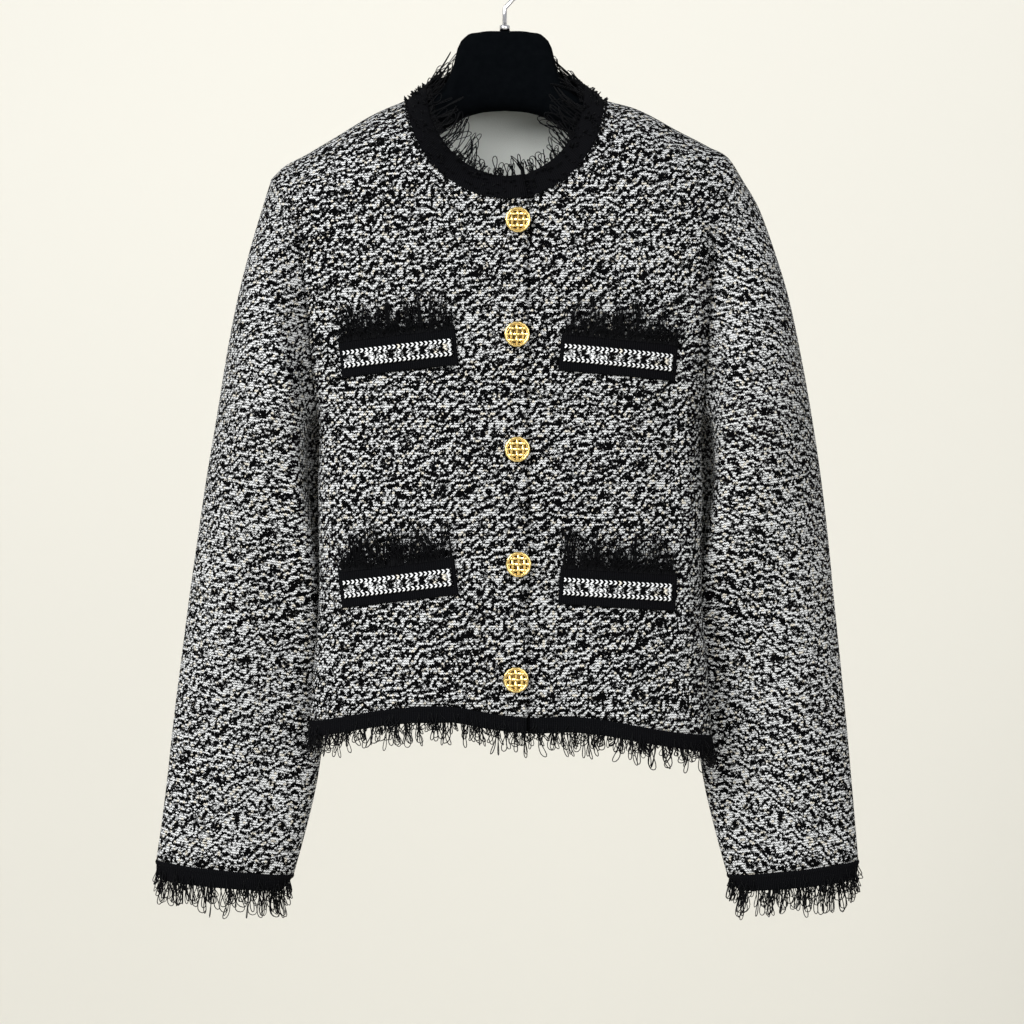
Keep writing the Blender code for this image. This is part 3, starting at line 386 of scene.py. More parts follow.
def quads(index):
    """Four-sided faces between the neighbours in a grid of point numbers, row by row."""
    corners = [index[:-1, :-1], index[:-1, 1:], index[1:, 1:], index[1:, :-1]]
    return np.stack(corners, axis=-1).reshape(-1, 4)


def tube_faces(rows, columns, ring=False):
    """Faces of a grid whose rows close round on themselves, and its ends too where ring is set."""
    index = np.arange(rows * columns).reshape(rows, columns)
    index = np.concatenate([index, index[:, :1]], axis=1)
    return quads(np.concatenate([index, index[:1]]) if ring else index)


def cloth_wall(name, outer, normals, thick, cloth, finish, wrap=False):
    """A wall of cloth: the outer grid, the same grid moved in by thick, and the rim between.

    cloth holds each point's place in the flat cut, with one column more where the grid closes
    round on itself.
    """
    points = np.concatenate([outer, outer - normals * thick]).reshape(-1, 3)
    inner = outer.shape[0] * outer.shape[1]
    index = np.arange(inner).reshape(outer.shape[:2])
    if wrap:
        index = np.concatenate([index, index[:, :1]], axis=1)
    flat = np.arange(index.size).reshape(index.shape)
    rims = [np.s_[0, ::-1], np.s_[-1, :]]
    if not wrap:
        rims += [np.s_[:, 0], np.s_[::-1, -1]]

    def both_sides(index, inner):
        """Faces of the outer grid, of the inner one, whose numbers are inner more, and the rim."""
        edges = [quads(np.stack([index[rim], inner + index[rim]])) for rim in rims]
        return np.concatenate([quads(index), inner + quads(index)[:, ::-1], *edges])

    faces, flats = both_sides(index, inner), both_sides(flat, 0)
    a, b, c, d = (points[faces[:, k]] for k in range(4))
    if np.sum(a * np.cross(b, c)) + np.sum(a * np.cross(c, d)) < 0:  # its volume is negative
        faces, flats = faces[:, ::-1], flats[:, ::-1]
    return put_in(name, points, faces, finish, cloth.reshape(-1, 2)[flats])


def dress(piece, node):
    """Puts a piece on the body, in the place of its solid, and hides that solid."""
    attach(piece, "root")
    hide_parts(node)


class Nodes:
    """Short ways to add and link the nodes of a material."""

    def __init__(self, name):
        """Starts a material with its plain shader."""
        self.material = bpy.data.materials.new(name)
        self.material.use_nodes = True
        self.tree = self.material.node_tree
        self.shader = self.tree.nodes["Principled BSDF"]

    def add(self, kind, links=(), **values):
        """Adds a node with these values, and links its sockets or sets them."""
        made = self.tree.nodes.new(kind)
        for key, value in values.items():
            setattr(made, key, value)
        for socket, source in dict(links).items():
            if isinstance(source, bpy.types.NodeSocket):
                self.tree.links.new(source, made.inputs[socket])
            else:
                made.inputs[socket].default_value = source
        return made

    def math(self, operation, a, b=0.0, c=0.0):
        """The result of one sum, such as SINE, of a, b and c."""
        return self.add("ShaderNodeMath", {0: a, 1: b, 2: c}, operation=operation).outputs[0]

    def times(self, a, b, plus=None):
        """a times b, and plus added where it is given."""
        if plus is None:
            return self.math("MULTIPLY", a, b)
        return self.math("MULTIPLY_ADD", a, b, plus)

    def mix(self, share, a, b):
        """A colour that goes from a to b as share goes from 0 to 1."""
        made = self.add("ShaderNodeMix", {0: share, 6: a, 7: b}, data_type="RGBA")
        return made.outputs[2]

    def point(self, *parts):
        """A place from up to three coordinates."""
        links = dict(enumerate(parts))
        return self.add("ShaderNodeCombineXYZ", links).outputs[0]

    def cloth_place(self, wale, course, turned=False):
        """The two places in stitches: across the cloth and along it."""
        uv = self.add("ShaderNodeUVMap", uv_map="cut").outputs[0]
        parts = self.add("ShaderNodeSeparateXYZ", {0: uv}).outputs
        across, along = (parts[1], parts[0]) if turned else (parts[0], parts[1])
        return self.times(across, 1000 / wale), self.times(along, 1000 / course)

    def noise(self, place, scale, detail):
        """Cloudy noise from 0 to 1, with scale grains to a unit of place."""
        links = {"Vector": place, "Scale": scale, "Detail": detail}
        return self.add("ShaderNodeTexNoise", links).outputs[0]

    def finish(self, colour, height, distance, roughness, sheen=0, shine=0.06):
        """Sets the shader's colour, roughness, sheen and shine, and its bumps by height."""
        shader = self.shader.inputs
        self.tree.links.new(colour, shader["Base Color"])
        shader["Roughness"].default_value = roughness
        shader["Sheen Weight"].default_value = sheen
        shader["Sheen Roughness"].default_value = 0.4
        shader["Specular IOR Level"].default_value = shine
        if height is not None:
            bump = self.add("ShaderNodeBump", {"Height": height, "Distance": distance})
            bump.inputs["Strength"].default_value = 0.8
            self.tree.links.new(bump.outputs[0], shader["Normal"])
        return self.material


def marl(name, wale, course, slope, white, turned=False, chains=1e4):
    """Knit of a black and a white strand: V-shaped stitches with rounded legs and painted shade in
    the gaps.

    The colour is a sum of noises in stitches and courses, of chance for each stitch and of
    wandering rows, ROW_PITCH apart, that rise to the right. It is cut off at a level that turns
    about the share white of it white. Beyond chains stitches from the middle every stitch is a
    white V on black.
    """
    n = Nodes(name)
    x, y = n.cloth_place(wale, course, turned)
    half = n.math("ABSOLUTE", n.math("SUBTRACT", n.math("FRACT", x), 0.5))
    lifted = n.times(half, slope, y)
    cell = n.point(n.math("FLOOR", x), n.math("FLOOR", lifted))
    chance = n.add("ShaderNodeTexWhiteNoise", {"Vector": cell}, noise_dimensions="2D").outputs[0]

    def slanted(rise):
        """Courses up, less rise times the way across, so that what follows it rises."""
        return n.times(x, -rise * wale / course, lifted)

    def noise(across, along, rise, detail):
        """Noise with a grain of across by along millimetres, whose grains rise to the right."""
        place = n.point(n.times(x, wale / across), n.times(slanted(rise), course / along))
        made = n.noise(place, 1.0, detail)
        made.node.inputs["Roughness"].default_value = 0.6
        return made

    turns = n.times(noise(10, 14, 0, 0), 2.2)
    turns = n.times(slanted(0.35), course / ROW_PITCH, turns)
    rows = n.math("SINE", n.times(turns, 2 * math.pi))
    score = n.times(noise(3.1, 2.0, 0.25, 0), 0.8, noise(1.6, 1.2, 0, 2.0))
    score = n.times(chance, 0.24, score)
    score = n.times(noise(70, 30, 0, 0), 0.1, score)
    score = n.times(rows, 0.13, score)
    level = 1.07 - (white - 0.5) * 0.5
    is_white = n.times(n.math("SUBTRACT", score, level), 24.0, 0.5)
    leg = n.math("SINE", n.times(n.math("FRACT", lifted), math.pi))
    outer = n.math("GREATER_THAN", n.math("ABSOLUTE", x), chains)
    middle = n.times(is_white, n.math("SUBTRACT", 1.0, outer))
    drawn = n.times(n.math("SUBTRACT", leg, 0.70), 6.0)
    is_white = n.times(outer, drawn, middle)
    is_white = n.add("ShaderNodeClamp", {0: is_white}).outputs[0]
    side = n.math("SINE", n.times(n.math("FRACT", n.times(x, 2)), math.pi))
    height = n.times(leg, n.math("POWER", side, 0.35))
    pale = n.mix(n.math("GREATER_THAN", chance, 0.94), WHITE_YARN, CREAM_YARN)
    yarn = n.mix(is_white, BLACK_YARN, pale)
    # Painted shade: the yarn is darkened where the stitch is low, in the gaps between legs and
    # courses.
    deep = n.times(height, 0.9, 0.1)
    links = {0: 1.0, 6: yarn, 7: n.point(deep, deep, deep)}
    colour = n.add("ShaderNodeMix", links, data_type="RGBA", blend_type="MULTIPLY").outputs[2]
    return n.finish(colour, height, 0.0009, 0.9, shine=0.02)


WHITE_YARN, CREAM_YARN = (0.87, 0.885, 0.89, 1), (0.83, 0.78, 0.67, 1)
BLACK_YARN = (0.0026, 0.0026, 0.0030, 1)
STITCH, ROW_PITCH = 2.1, 8.5
marled = marl("marled_knit", STITCH, STITCH, 0.8, 0.33)

front = {}
for name, side, first_x, ramp in (("left", -1, FRONT_EDGE, ()), ("right", 1, UNDER_EDGE, UNDER_RAMP)):
    grid = front_grid(side, first_x, ramp)
    normals = body_normals(grid, "front")
    place = body_cloth(grid, "front")
    if ramp:
        moved = step_under(grid, normals)
        moved[:, -1], moved[0, NECK_BANDS:] = grid[:, -1], grid[0, NECK_BANDS:]
        grid = moved
    front[name] = grid
    piece = cloth_wall("knit_front_" + name, grid, normals, KNIT, place, marled)
    dress(piece, "front_" + name)

behind = back_grid()
behind_normals = body_normals(behind, "back")
piece = cloth_wall("knit_back", behind, behind_normals, KNIT, body_cloth(behind, "back"), marled)
dress(piece, "back")


# ------------------------ sleeves
# Two set-in sleeves of the same knit, each knitted to shape and closed by a seam under the
# arm. They are linked into the armholes and hang slack, with soft folds at the elbow.
SLEEVE = table("left right drop inner inner_drop deep middle tuck", [
    (214.5, 220.5, 222, 173, 409, 46, 0, 14), (225, 232.5, 256, 177, 420, 53, 0, 24),
    (236.5, 245, 298, 178.5, 442, 57, 1, 32), (247, 255, 345, 178, 467, 57, 3, 32),
    (257.5, 265, 400, 173, 501, 52, 7, 32), (268, 274, 455, 168.5, 537, 46, 12, 24),
    (277, 281.5, 510, 166, 574, 41, 17, 14), (285.5, 287.5, 565, 165, 612, 37, 21, 6),
    (293, 293.5, 620, 166, 650, 33, 23, 0), (300, 299, 675, 167, 690, 29, 23, 0),
    (305, 303, 725, 172, 730, 26, 20, 0), (309.5, 306, 765, 181, 770, 24, 17, 0),
    (314, 308.5, 798, 192, 811, 22, 15, 0), (311, 306, 815, 202, 825, 21, 15, 0),
])
SLEEVE_FOLDS = table("ring angle rings degrees slant height", [
    (2.5, 70, 2.2, 22, 12, -3), (4.6, 130, 1.6, 26, -18, -4), (6.4, 95, 1.5, 30, -20, -3.5),
    (8.2, 60, 2, 24, 15, 3), (9.5, 120, 2.2, 22, 10, -3), (5, 250, 2, 28, 16, -4),
    (8.5, 290, 2.4, 24, -12, 3), (1.6, 124, 1.2, 28, 0, 14), (5.4, 144, 3.8, 17, 0, 8),
    (3.4, 120, 0.7, 30, -40, 1.5), (4.3, 100, 0.6, 34, -34, -1.5), (5.6, 120, 0.6, 34, -30, 1.6),
    (7.2, 110, 0.8, 28, 26, -1.5), (5.8, 230, 0.7, 34, 30, -1.6), (7, 270, 0.7, 30, -26, 1.5),
    (11, 90, 1, 40, 12, -1.4),
])


def even_turns(count):
    """Angles that divide a full turn evenly."""
    return np.arange(count) * 2 * math.pi / count


def sleeve_rings(side, turns):
    """The rings of a sleeve: ellipses between their outer and inner points, the back of which is
    moved in by tuck towards the inner point."""
    row = {name: values[:, None] for name, values in SLEEVE.items()}
    out = row["left" if side < 0 else "right"]
    outer = (centre(row["drop"]) + side * out, -row["drop"])
    inner = (centre(row["inner_drop"]) + side * row["inner"], -row["inner_drop"])
    x, z = ((a + b) / 2 + (a - b) / 2 * np.cos(turns) for a, b in zip(outer, inner, strict=True))
    x = x - side * row["tuck"] * np.maximum(-np.sin(turns), 0) * (1 - np.cos(turns)) / 2
    return stacked(x, row["middle"] - row["deep"] * np.sin(turns), z)


def sleeve_grid(side, seam):
    """A sleeve's points: curves through its rings from the armhole seam down, with each fold a
    bell along and round the sleeve, slanted as it goes round."""
    turns = even_turns(len(seam))
    rings = np.concatenate([seam[None], sleeve_rings(side, turns)])
    rings, edge = rings[:-1], rings[-1]
    last = len(rings) - 1
    at = np.linspace(0, last, last * 7 + 1)
    grid = smooth(at, np.arange(last + 1.0), rings)
    ring, angle = at[:, None], np.degrees(turns)[None]
    total = np.zeros(grid.shape[:2])
    for level, place, tall, wide, slant, height in zip(*SLEEVE_FOLDS.values(), strict=True):
        if side > 0:  # the right sleeve's folds lie a little further round and lower
            place, level = place + 8, level + 0.4
        turn = (angle - place + 180) % 360 - 180
        along = (ring - level - turn / 360 * slant / 6) / tall
        total += height * np.exp(-(along**2) - (turn / wide) ** 2)
    total *= np.clip(ring / 2, 0, 1) * np.clip((last - ring) / 2, 0, 1)
    grid += unit(grid - grid.mean(axis=1, keepdims=True)) * total[..., None]
    return grid, edge


def round_normals(grid):
    """Outward normals of a tube whose rows close round on themselves."""
    down = np.gradient(grid, axis=0)
    along = np.roll(grid, -1, axis=1) - np.roll(grid, 1, axis=1)
    normals = unit(np.cross(down, along))
    outside = np.sum(normals * (grid - grid.mean(axis=1, keepdims=True)))
    return normals if outside > 0 else -normals


def round_cloth(grid, side):
    """Places in a sleeve's flat cut: down along its slope, and round it by the arc of the ellipse
    between its outer and inner line at that height, counted from the outer line."""
    closed = np.concatenate([grid, grid[:, :1]], axis=1)
    drop = -closed[..., 2]
    out = smooth(drop, SLEEVE["drop"], SLEEVE["left" if side < 0 else "right"])
    inner = smooth(drop, SLEEVE["inner_drop"], SLEEVE["inner"])
    level = (SLEEVE["drop"] + SLEEVE["inner_drop"]) / 2
    deep, middle = (smooth(drop, level, SLEEVE[name])[..., None] for name in ("deep", "middle"))
    half = ((out - inner) / 2)[..., None]
    aside = side * (closed[..., 0] - centre(drop)) - (out + inner) / 2
    turn = np.arctan2((middle[..., 0] - closed[..., 1]) / deep[..., 0], aside / half[..., 0])
    near = np.linspace(-math.pi, math.pi, closed.shape[1])
    turn = near + (turn - near + math.pi) % (2 * math.pi) - math.pi
    share = (np.arange(48) + 0.5) / 48
    arc = np.hypot(half * np.sin(turn[..., None] * share), deep * np.cos(turn[..., None] * share))
    slope = math.radians(9)
    fall = drop * math.cos(slope) + side * closed[..., 0] * math.sin(slope)
    return stacked(turn * arc.mean(axis=-1), -fall)


# The sleeves' copy of the knit has more white: painted lighter, for the light they get less of as
# they face sideways.
marled_sleeve_painted_lighter = marl("marled_knit_sleeve_painted_lighter", STITCH, STITCH, 0.8, 0.395)
sleeves = {}
for name, side, column in (("left", -1, 0), ("right", 1, -1)):
    down = front[name][: ARMHOLE_BANDS + 1, -1]
    up = behind[ARMHOLE_BANDS - 1 : 0 : -1, column]
    grid, edge = sleeve_grid(side, np.concatenate([down, up]))
    half = grid.shape[1] // 2
    grid, edge = np.roll(grid, half, axis=1), np.roll(edge, half, axis=0)
    sleeves[name] = (grid, edge)
    normals, place = round_normals(grid), round_cloth(grid, side)
    sleeve = "knit_sleeve_" + name
    piece = cloth_wall(sleeve, grid, normals, KNIT, place, marled_sleeve_painted_lighter, wrap=True)
    dress(piece, "sleeve_" + name)


# ------------------------ lining
# The smooth grey inside of the back, tacked along the neck and the shoulders. It shows
# through the neck only.
LINING, LINING_GAP, THREAD = 1.0, 0.5, 0.8

# Fine plain weave: two sets of rounded threads at right angles, with painted shade where they are
# low.
n = Nodes("grey_lining")
threads = [n.math("SINE", n.times(a, 2 * math.pi)) for a in n.cloth_place(THREAD, THREAD)]
height = n.times(*threads)
# Both colours are painted far lighter than the grey cloth, to make up for the shade inside the back.
tone = n.mix(n.times(height, 0.5, 0.5), (0.72, 0.744, 0.704, 1), (0.90, 0.93, 0.88, 1))
grey = n.finish(tone, height, 0.0002, 0.7, sheen=0.1)

rows, columns = np.s_[FINE : 9 * FINE + 1], np.s_[4 * FINE : -4 * FINE]
lining_normals = behind_normals[rows, columns]
face = behind[rows, columns] - lining_normals * (KNIT + LINING_GAP)
place = body_cloth(behind, "back")[rows, columns]
piece = cloth_wall("lining_of_back", face, lining_normals, LINING, place, grey)
dress(piece, "lining_back")


# ------------------------ neck, hem and cuff bands
# Ribbed bands of black wool, 2.6 mm thick, linked to the edge stitches of the panels. The
# neck band is 20 to 26 mm high, the hem band 13.5 mm and the cuff bands about 16 mm. The top
# edges of the hem and cuff bands are rolled.
RIB = 2.6
HEM_RIB = 13.5
NECK_LEAN = table("y width lift", [
    (-62, 26, 0), (-40, 21, 4), (-12, 20, 45), (6, 20, 85), (30, 21, 240), (48, 22, 330),
])
NECK_AIM = (0.7, 0.0, -120.0)  # the point that the band leans towards
NECK_BELLY, HEM_BELLY, CUFF_BELLY = 0.9, 0.7, 0.8  # how far the middle of a band stands out
EDGE_ROLL, ROLL_PLACE, ROLL_WIDTH = 1.2, 0.13, 0.09  # in mm and in shares of the band's height
RIB_PITCH, RIB_COURSE = 1.9, 1.5

# Black rib knit: rounded ribs down the band, each crossed by its courses of stitches, with painted
# light.
n = Nodes("black_rib")
x, y = n.cloth_place(RIB_PITCH, RIB_COURSE)
ribs, stitch = (n.math("ABSOLUTE", n.math("SINE", n.times(a, math.pi))) for a in (x, y))
height = n.times(n.math("POWER", stitch, 0.5), 0.35, n.math("POWER", ribs, 0.6))
# Painted light and shade: lighter where the rib stands high, darker in its hollows, times a random
# tone.
lit = n.times(n.times(height, n.noise(n.point(x, y), 1.3, 3.0)), 1.2)
tone = n.mix(lit, (0.0015, 0.0016, 0.0022, 1), (0.0034, 0.0035, 0.0042, 1))
black_rib = n.finish(tone, height, 0.0008, 0.9, shine=0.03)


def open_normals(grid, inside):
    """Normals of a grid of points, turned away from the point inside."""
    normals = unit(np.cross(np.gradient(grid, axis=0), np.gradient(grid, axis=1)))
    return normals if np.sum(normals * (grid - np.array(inside))) > 0 else -normals


def rolled(shares, belly):
    """How far a band stands out at shares of its height: a half sine of height belly, and a
    bell of height EDGE_ROLL near its top, where the edge is rolled."""
    bell = np.exp(-(((shares - ROLL_PLACE) / ROLL_WIDTH) ** 2))
    return belly * np.sin(np.pi * shares) + EDGE_ROLL * bell


def band_cloth(grid):
    """Places in the flat strip of a band: along its seam, and away from it."""
    return np.stack(np.meshgrid(way_along(grid[0]), -way_along(grid[:, 0])), axis=-1)


neck_line = np.concatenate([
    front["left"][0, : NECK_BANDS + 1],
    behind[0, SHOULDER_BANDS + 1 : SHOULDER_BANDS + NECK_BANDS + 1],
    front["right"][0, NECK_BANDS - 1 : FINE - 1 : -1],
    front["left"][0, :1] + [0.3, 0, 0],
])
lean = np.array(NECK_AIM) - neck_line
lean[:, 2] += smooth(neck_line[:, 1], NECK_LEAN["y"], NECK_LEAN["lift"])
lean = unit(lean)
neck_width = smooth(neck_line[:, 1], NECK_LEAN["y"], NECK_LEAN["width"])[:, None]
shares = np.linspace(0, 1, 10)[:, None, None]
neck_grid = neck_line + lean * neck_width * shares
neck_normals = open_normals(neck_grid, (0.7, 0, -170))
neck_grid = neck_grid + neck_normals * NECK_BELLY * np.sin(np.pi * shares)
neck_place = band_cloth(neck_grid)
neck_band = cloth_wall("rib_neck_band", neck_grid, neck_normals, RIB, neck_place, black_rib)
dress(neck_band, "neck_band")

last_column = NECK_BANDS + SHOULDER_BANDS
hem_line = np.concatenate([
    front["left"][-1],
    behind[-1, 1:],
    front["right"][-1, last_column - 1 : FINE - 1 : -1],
    front["right"][-1, FINE : FINE + 1] - [1.5, 0, 0],
])
on_back = np.zeros(len(hem_line), bool)
on_back[last_column + 1 : last_column + behind.shape[1] - 1] = True


def hem_below(below):
    """The hem line moved down on the body's own form by below."""
    moved = hem_line.copy()
    for face, chosen in (("front", ~on_back), ("back", on_back)):
        x, drop = hem_line[chosen, 0], -hem_line[chosen, 2]
        moved[chosen] += body_point(x, drop + below, face) - body_point(x, drop, face)
    return moved


shares = np.linspace(0, 1, 11)[:, None, None]
hem_grid = np.array([hem_below(t) for t in HEM_RIB * shares.ravel()])
hem_normals = open_normals(hem_grid, (5, 0, -690))
hem_grid = hem_grid + hem_normals * rolled(shares, HEM_BELLY)
hem_place = band_cloth(hem_grid)
hem_band = cloth_wall("rib_hem_band", hem_grid, hem_normals, RIB, hem_place, black_rib)
dress(hem_band, "hem_band")

cuffs = {}
for name, (grid, edge) in sleeves.items():
    side = -1 if name == "left" else 1
    shares = np.linspace(0, 1, 12)[:, None, None]
    band = grid[-1] + (edge - grid[-1]) * shares
    normals = round_normals(band)
    band = band + normals * rolled(shares, CUFF_BELLY)
    place = round_cloth(band, side)
    cuff = cloth_wall("rib_cuff_" + name, band, normals, RIB, place, black_rib, wrap=True)
    dress(cuff, "cuff_band_" + name)
    cuffs[name] = (cuff, band, normals)


# ------------------------ fringe of neck, hem and cuffs
# Loops of thin black yarn left standing from the last row and the face of each band. They
# hang straight and full at the hem and cuffs, and stand in loose bunches round the neck, where
# small knots cover the band.
YARN = 0.42  # half the thickness of the yarn
HEM_LOOPS, HEM_FACE_LOOPS = 350, 200
CUFF_LOOPS, CUFF_FACE_LOOPS = 110, 76
NECK_KNOTS = 620

# Black twisted yarn: nearly black and a little bluish, with a faint shine, lighter and darker along
# it.
n = Nodes("black_yarn")
patchy = n.noise(n.add("ShaderNodeTexCoord").outputs["Object"], 420.0, 2.0)
tone = n.mix(patchy, (0.0010, 0.0011, 0.0013, 1), (0.0036, 0.0038, 0.0046, 1))
black_yarn = n.finish(tone, None, 0, 0.45, shine=0.05)


def yarn_loops(name, roots, go, along, away, shape):
    """Yarn loops, each a closed drop: out by length times a half sine, sideways by width times
    a full sine, and bent with the square of the distance from its root.

    shape has one value a loop for length, width, spin (how the drop is turned about its own
    length), sway (its bend along the edge) and rise (its bend away from the cloth).
    """
    t = np.linspace(0, 1, 13)[:, None]
    deep = np.sin(np.pi * t) ** 0.85
    wide = np.sin(2 * np.pi * t) * np.sin(np.pi * t) ** 0.4
    length, width, spin, sway, rise = (values[:, None, None] for values in shape.values())
    across = along[:, None] * np.cos(spin) + away[:, None] * np.sin(spin)
    path = roots[:, None] + go[:, None] * length * deep + across * width * wide
    path = path + (along[:, None] * sway + away[:, None] * rise) * deep**2
    path = path + along[:, None] * (t - 0.5) * 1.2
    run = unit(np.gradient(path, axis=1))
    side = unit(np.cross(run, unit(away[:, None] + 0.37 * along[:, None] + 0.21 * go[:, None])))
    up = np.cross(side, run)
    turn = even_turns(4)
    ring = side[:, :, None] * np.cos(turn)[:, None] + up[:, :, None] * np.sin(turn)[:, None]
    points = path[:, :, None] + ring * YARN
    count, steps, sides = points.shape[:3]
    faces = tube_faces(steps, sides) + (np.arange(count) * steps * sides)[:, None, None]
    return put_in(name, points.reshape(-1, 3), faces.reshape(-1, 4), black_yarn)


def loop_shapes(rng, count, length, width, sway, rise, power=1.0):
    """Random sizes for loops, each between its two limits. A power above 1 makes most of them
    short. The bend along the edge is a bell curve, cut off at 1.6 of its width."""
    return {
        "length": length[0] + (length[1] - length[0]) * rng.uniform(0, 1, count) ** power,
        "width": rng.uniform(*width, count),
        "spin": rng.uniform(-1.3, 1.3, count),
        "sway": np.clip(rng.normal(0, sway, count), -1.6 * sway, 1.6 * sway),
        "rise": rng.uniform(*rise, count),
    }


def between(shares, at, values):
    """Points at shares, on straight lines between the values, which are at the places at."""
    return stacked(*(np.interp(shares, at, column) for column in values.T))


def along_edge(line, normals, shares):
    """Points, directions along and normals at shares of an edge's length."""
    at = way_along(line)
    at /= at[-1]
    tangent = unit(np.gradient(line, axis=0))
    return tuple(between(shares, at, values) for values in (line, tangent, normals))


def with_face(edge, grid, normals, row, column):
    """The roots of loops and the directions along and away from the cloth there: those of an
    edge, and after them those at places of a band's face."""
    along = unit(np.gradient(grid, axis=1))
    face = (values[row, column] for values in (grid, along, normals))
    return (np.concatenate(pair) for pair in zip(edge, face, strict=True))


def joined(first, second):
    """The sizes of two sets of loops, one set after the other."""
    return {key: np.concatenate([first[key], second[key]]) for key in first}


def hang_fringe(name, grid, normals, shares, edge, face):
    """Loops that hang from a band: a set shaped as edge from shares of its lower edge, within
    its thickness, and a set shaped as face from the lower two thirds of its face."""
    roots, along, away = along_edge(grid[-1], normals[-1], shares)
    roots = roots - away * rng.uniform(0.3, RIB - 0.3, len(shares))[:, None] + [0, 0, 0.5]
    count = len(face["length"])
    row, column = rng.integers(3, 9, count), rng.integers(0, grid.shape[1], count)
    roots, along, away = with_face((roots, along, away), grid, normals, row, column)
    down = np.tile([0.0, 0.0, -1.0], (len(roots), 1))
    return yarn_loops(name, roots, down, along, away, joined(edge, face))


rng = np.random.default_rng(3)
shares = np.sort(rng.uniform(0.001, 0.999, HEM_LOOPS))
edge = loop_shapes(rng, len(shares), (6, 22), (1.5, 4.6), 3.6, (-1.5, 4.0), 1.3)
face = loop_shapes(rng, HEM_FACE_LOOPS, (6, 15), (1.3, 3.6), 3.0, (0.4, 3.0))
piece = hang_fringe("loops_hem", hem_grid, hem_normals, shares, edge, face)
dress(piece, "hem_fringe")

for name, (cuff, band, normals) in cuffs.items():
    closed, closed_normals = (np.concatenate([a, a[:, :1]], axis=1) for a in (band, normals))
    shares = np.sort(rng.uniform(0, 1, CUFF_LOOPS))
    edge = loop_shapes(rng, len(shares), (7, 27), (1.8, 5.4), 3.0, (-1.5, 4.0), 0.9)
    face = loop_shapes(rng, CUFF_FACE_LOOPS, (6, 17), (1.4, 4.2), 2.6, (0.4, 3.0))
    piece = hang_fringe("loops_cuff_" + name, closed, closed_normals, shares, edge, face)
    dress(piece, "cuff_fringe_" + name)
    sleeve = "knit_sleeve_" + name

# Bunches of the neck's fringe: place along the band, half width, number and length of loops.
# The last row is spread evenly over the whole band.
BUNCHES = table("place wide count length", [
    (0.02, 0.015, 12, 16), (0.10, 0.03, 6, 12), (0.125, 0.012, 8, 26), (0.17, 0.015, 8, 28),
    (0.22, 0.016, 9, 30), (0.28, 0.02, 7, 22), (0.335, 0.017, 9, 28), (0.42, 0.04, 9, 16),
    (0.50, 0.03, 6, 15), (0.58, 0.04, 9, 16), (0.665, 0.017, 9, 28), (0.72, 0.02, 7, 22),
    (0.78, 0.016, 9, 30), (0.835, 0.015, 9, 30), (0.88, 0.012, 9, 29), (0.91, 0.02, 6, 15),
    (0.975, 0.015, 11, 16), (0.50, 0.50, 180, 6),
])
shares, lengths = [], []
for place, wide, count, length in zip(*BUNCHES.values(), strict=True):
    count = int(count)
    spread = rng.uniform(0, 1, count) if wide == 0.5 else rng.normal(place, wide, count)
    shares.append(np.clip(spread, 0.002, 0.998))
    lengths.append(length * rng.uniform(0.55, 1.1, count))
shares, lengths = np.concatenate(shares), np.concatenate(lengths)
roots, along, away = along_edge(neck_grid[-1], neck_normals[-1], shares)
go = between(shares, np.linspace(0, 1, len(lean)), lean)
go[:, 1] = np.minimum(go[:, 1], 0)
shape = loop_shapes(rng, len(shares), (1, 1), (1.2, 4.0), 5.5, (-1.0, 5.0))
shape["length"] = lengths
shape["sway"] *= lengths / 20
shape["rise"] *= lengths / 20
roots = roots - away * rng.uniform(0.3, RIB - 0.3, len(shares))[:, None]

# Small knots of the same yarn cover the band's face and stand out over its outer edge.
row = np.maximum(rng.integers(-6, 9, NECK_KNOTS), 0)
column = rng.integers(0, neck_grid.shape[1], NECK_KNOTS)
spread = rng.normal(0, 0.7, (NECK_KNOTS, 3)) - lean[column] * (row == 0)[:, None] * 1.5
knot_shape = loop_shapes(rng, NECK_KNOTS, (1.3, 3.0), (1.1, 2.1), 0.8, (0.4, 1.6))
go = unit(np.concatenate([unit(go), spread + neck_normals[row, column] * 0.5]))
edge = (roots, along, away)
roots, along, away = with_face(edge, neck_grid, neck_normals, row, column)
piece = yarn_loops("loops_neck", roots, go, along, away, joined(shape, knot_shape))
dress(piece, "neck_fringe")


# ------------------------ pockets
# Four mock pocket welts: a marled strip knitted sideways, 93 by 15 mm, on a black trim that
# borders it, both stitched down. A looped black fringe stands up from the trim's top edge.
POCKETS = {
    "upper_left": (-90.2, 354.9, 5.9),
    "upper_right": (97.1, 358.7, -4.9),
    "lower_left": (-90.4, 551.0, 6.9),
    "lower_right": (96.5, 556.2, -3.7),
}
WELT = (93.0, 15.0)
TRIM_SIDE, TRIM_BELOW, TRIM_ABOVE = 3.6, 8.0, 9.5
TRIM_THICK, WELT_THICK = 1.6, 1.4
TRIM_GAP, WELT_GAP = 0.65, 0.5  # room for the seams under the trim and under the welt
WELT_WALE, WELT_COURSE = 3.75, 3.9
POCKET_LOOPS, LOOP_REACH = 165, 18


def pocket_grid(pocket, low, high, half, rows, columns, height, rounded):
    """Points over a pocket's place, height above the front, lower by rounded at the edges.
    Also their normals and their places in the flat piece."""
    x0, drop0, tilt = pocket
    angle = math.radians(tilt)
    across, up = np.meshgrid(np.linspace(-half, half, columns), np.linspace(high, low, rows))
    x = x0 + across * math.cos(angle) - up * math.sin(angle)
    base = body_point(x, drop0 - across * math.sin(angle) - up * math.cos(angle), "front")
    normals = body_normals(base, "front")
    middle, reach = (low + high) / 2, (high - low) / 2
    edge = np.maximum(np.abs(across) / half, np.abs(up - middle) / reach) ** 12
    thick = height - rounded * edge
    return base + normals * thick[..., None], normals, stacked(across, up)


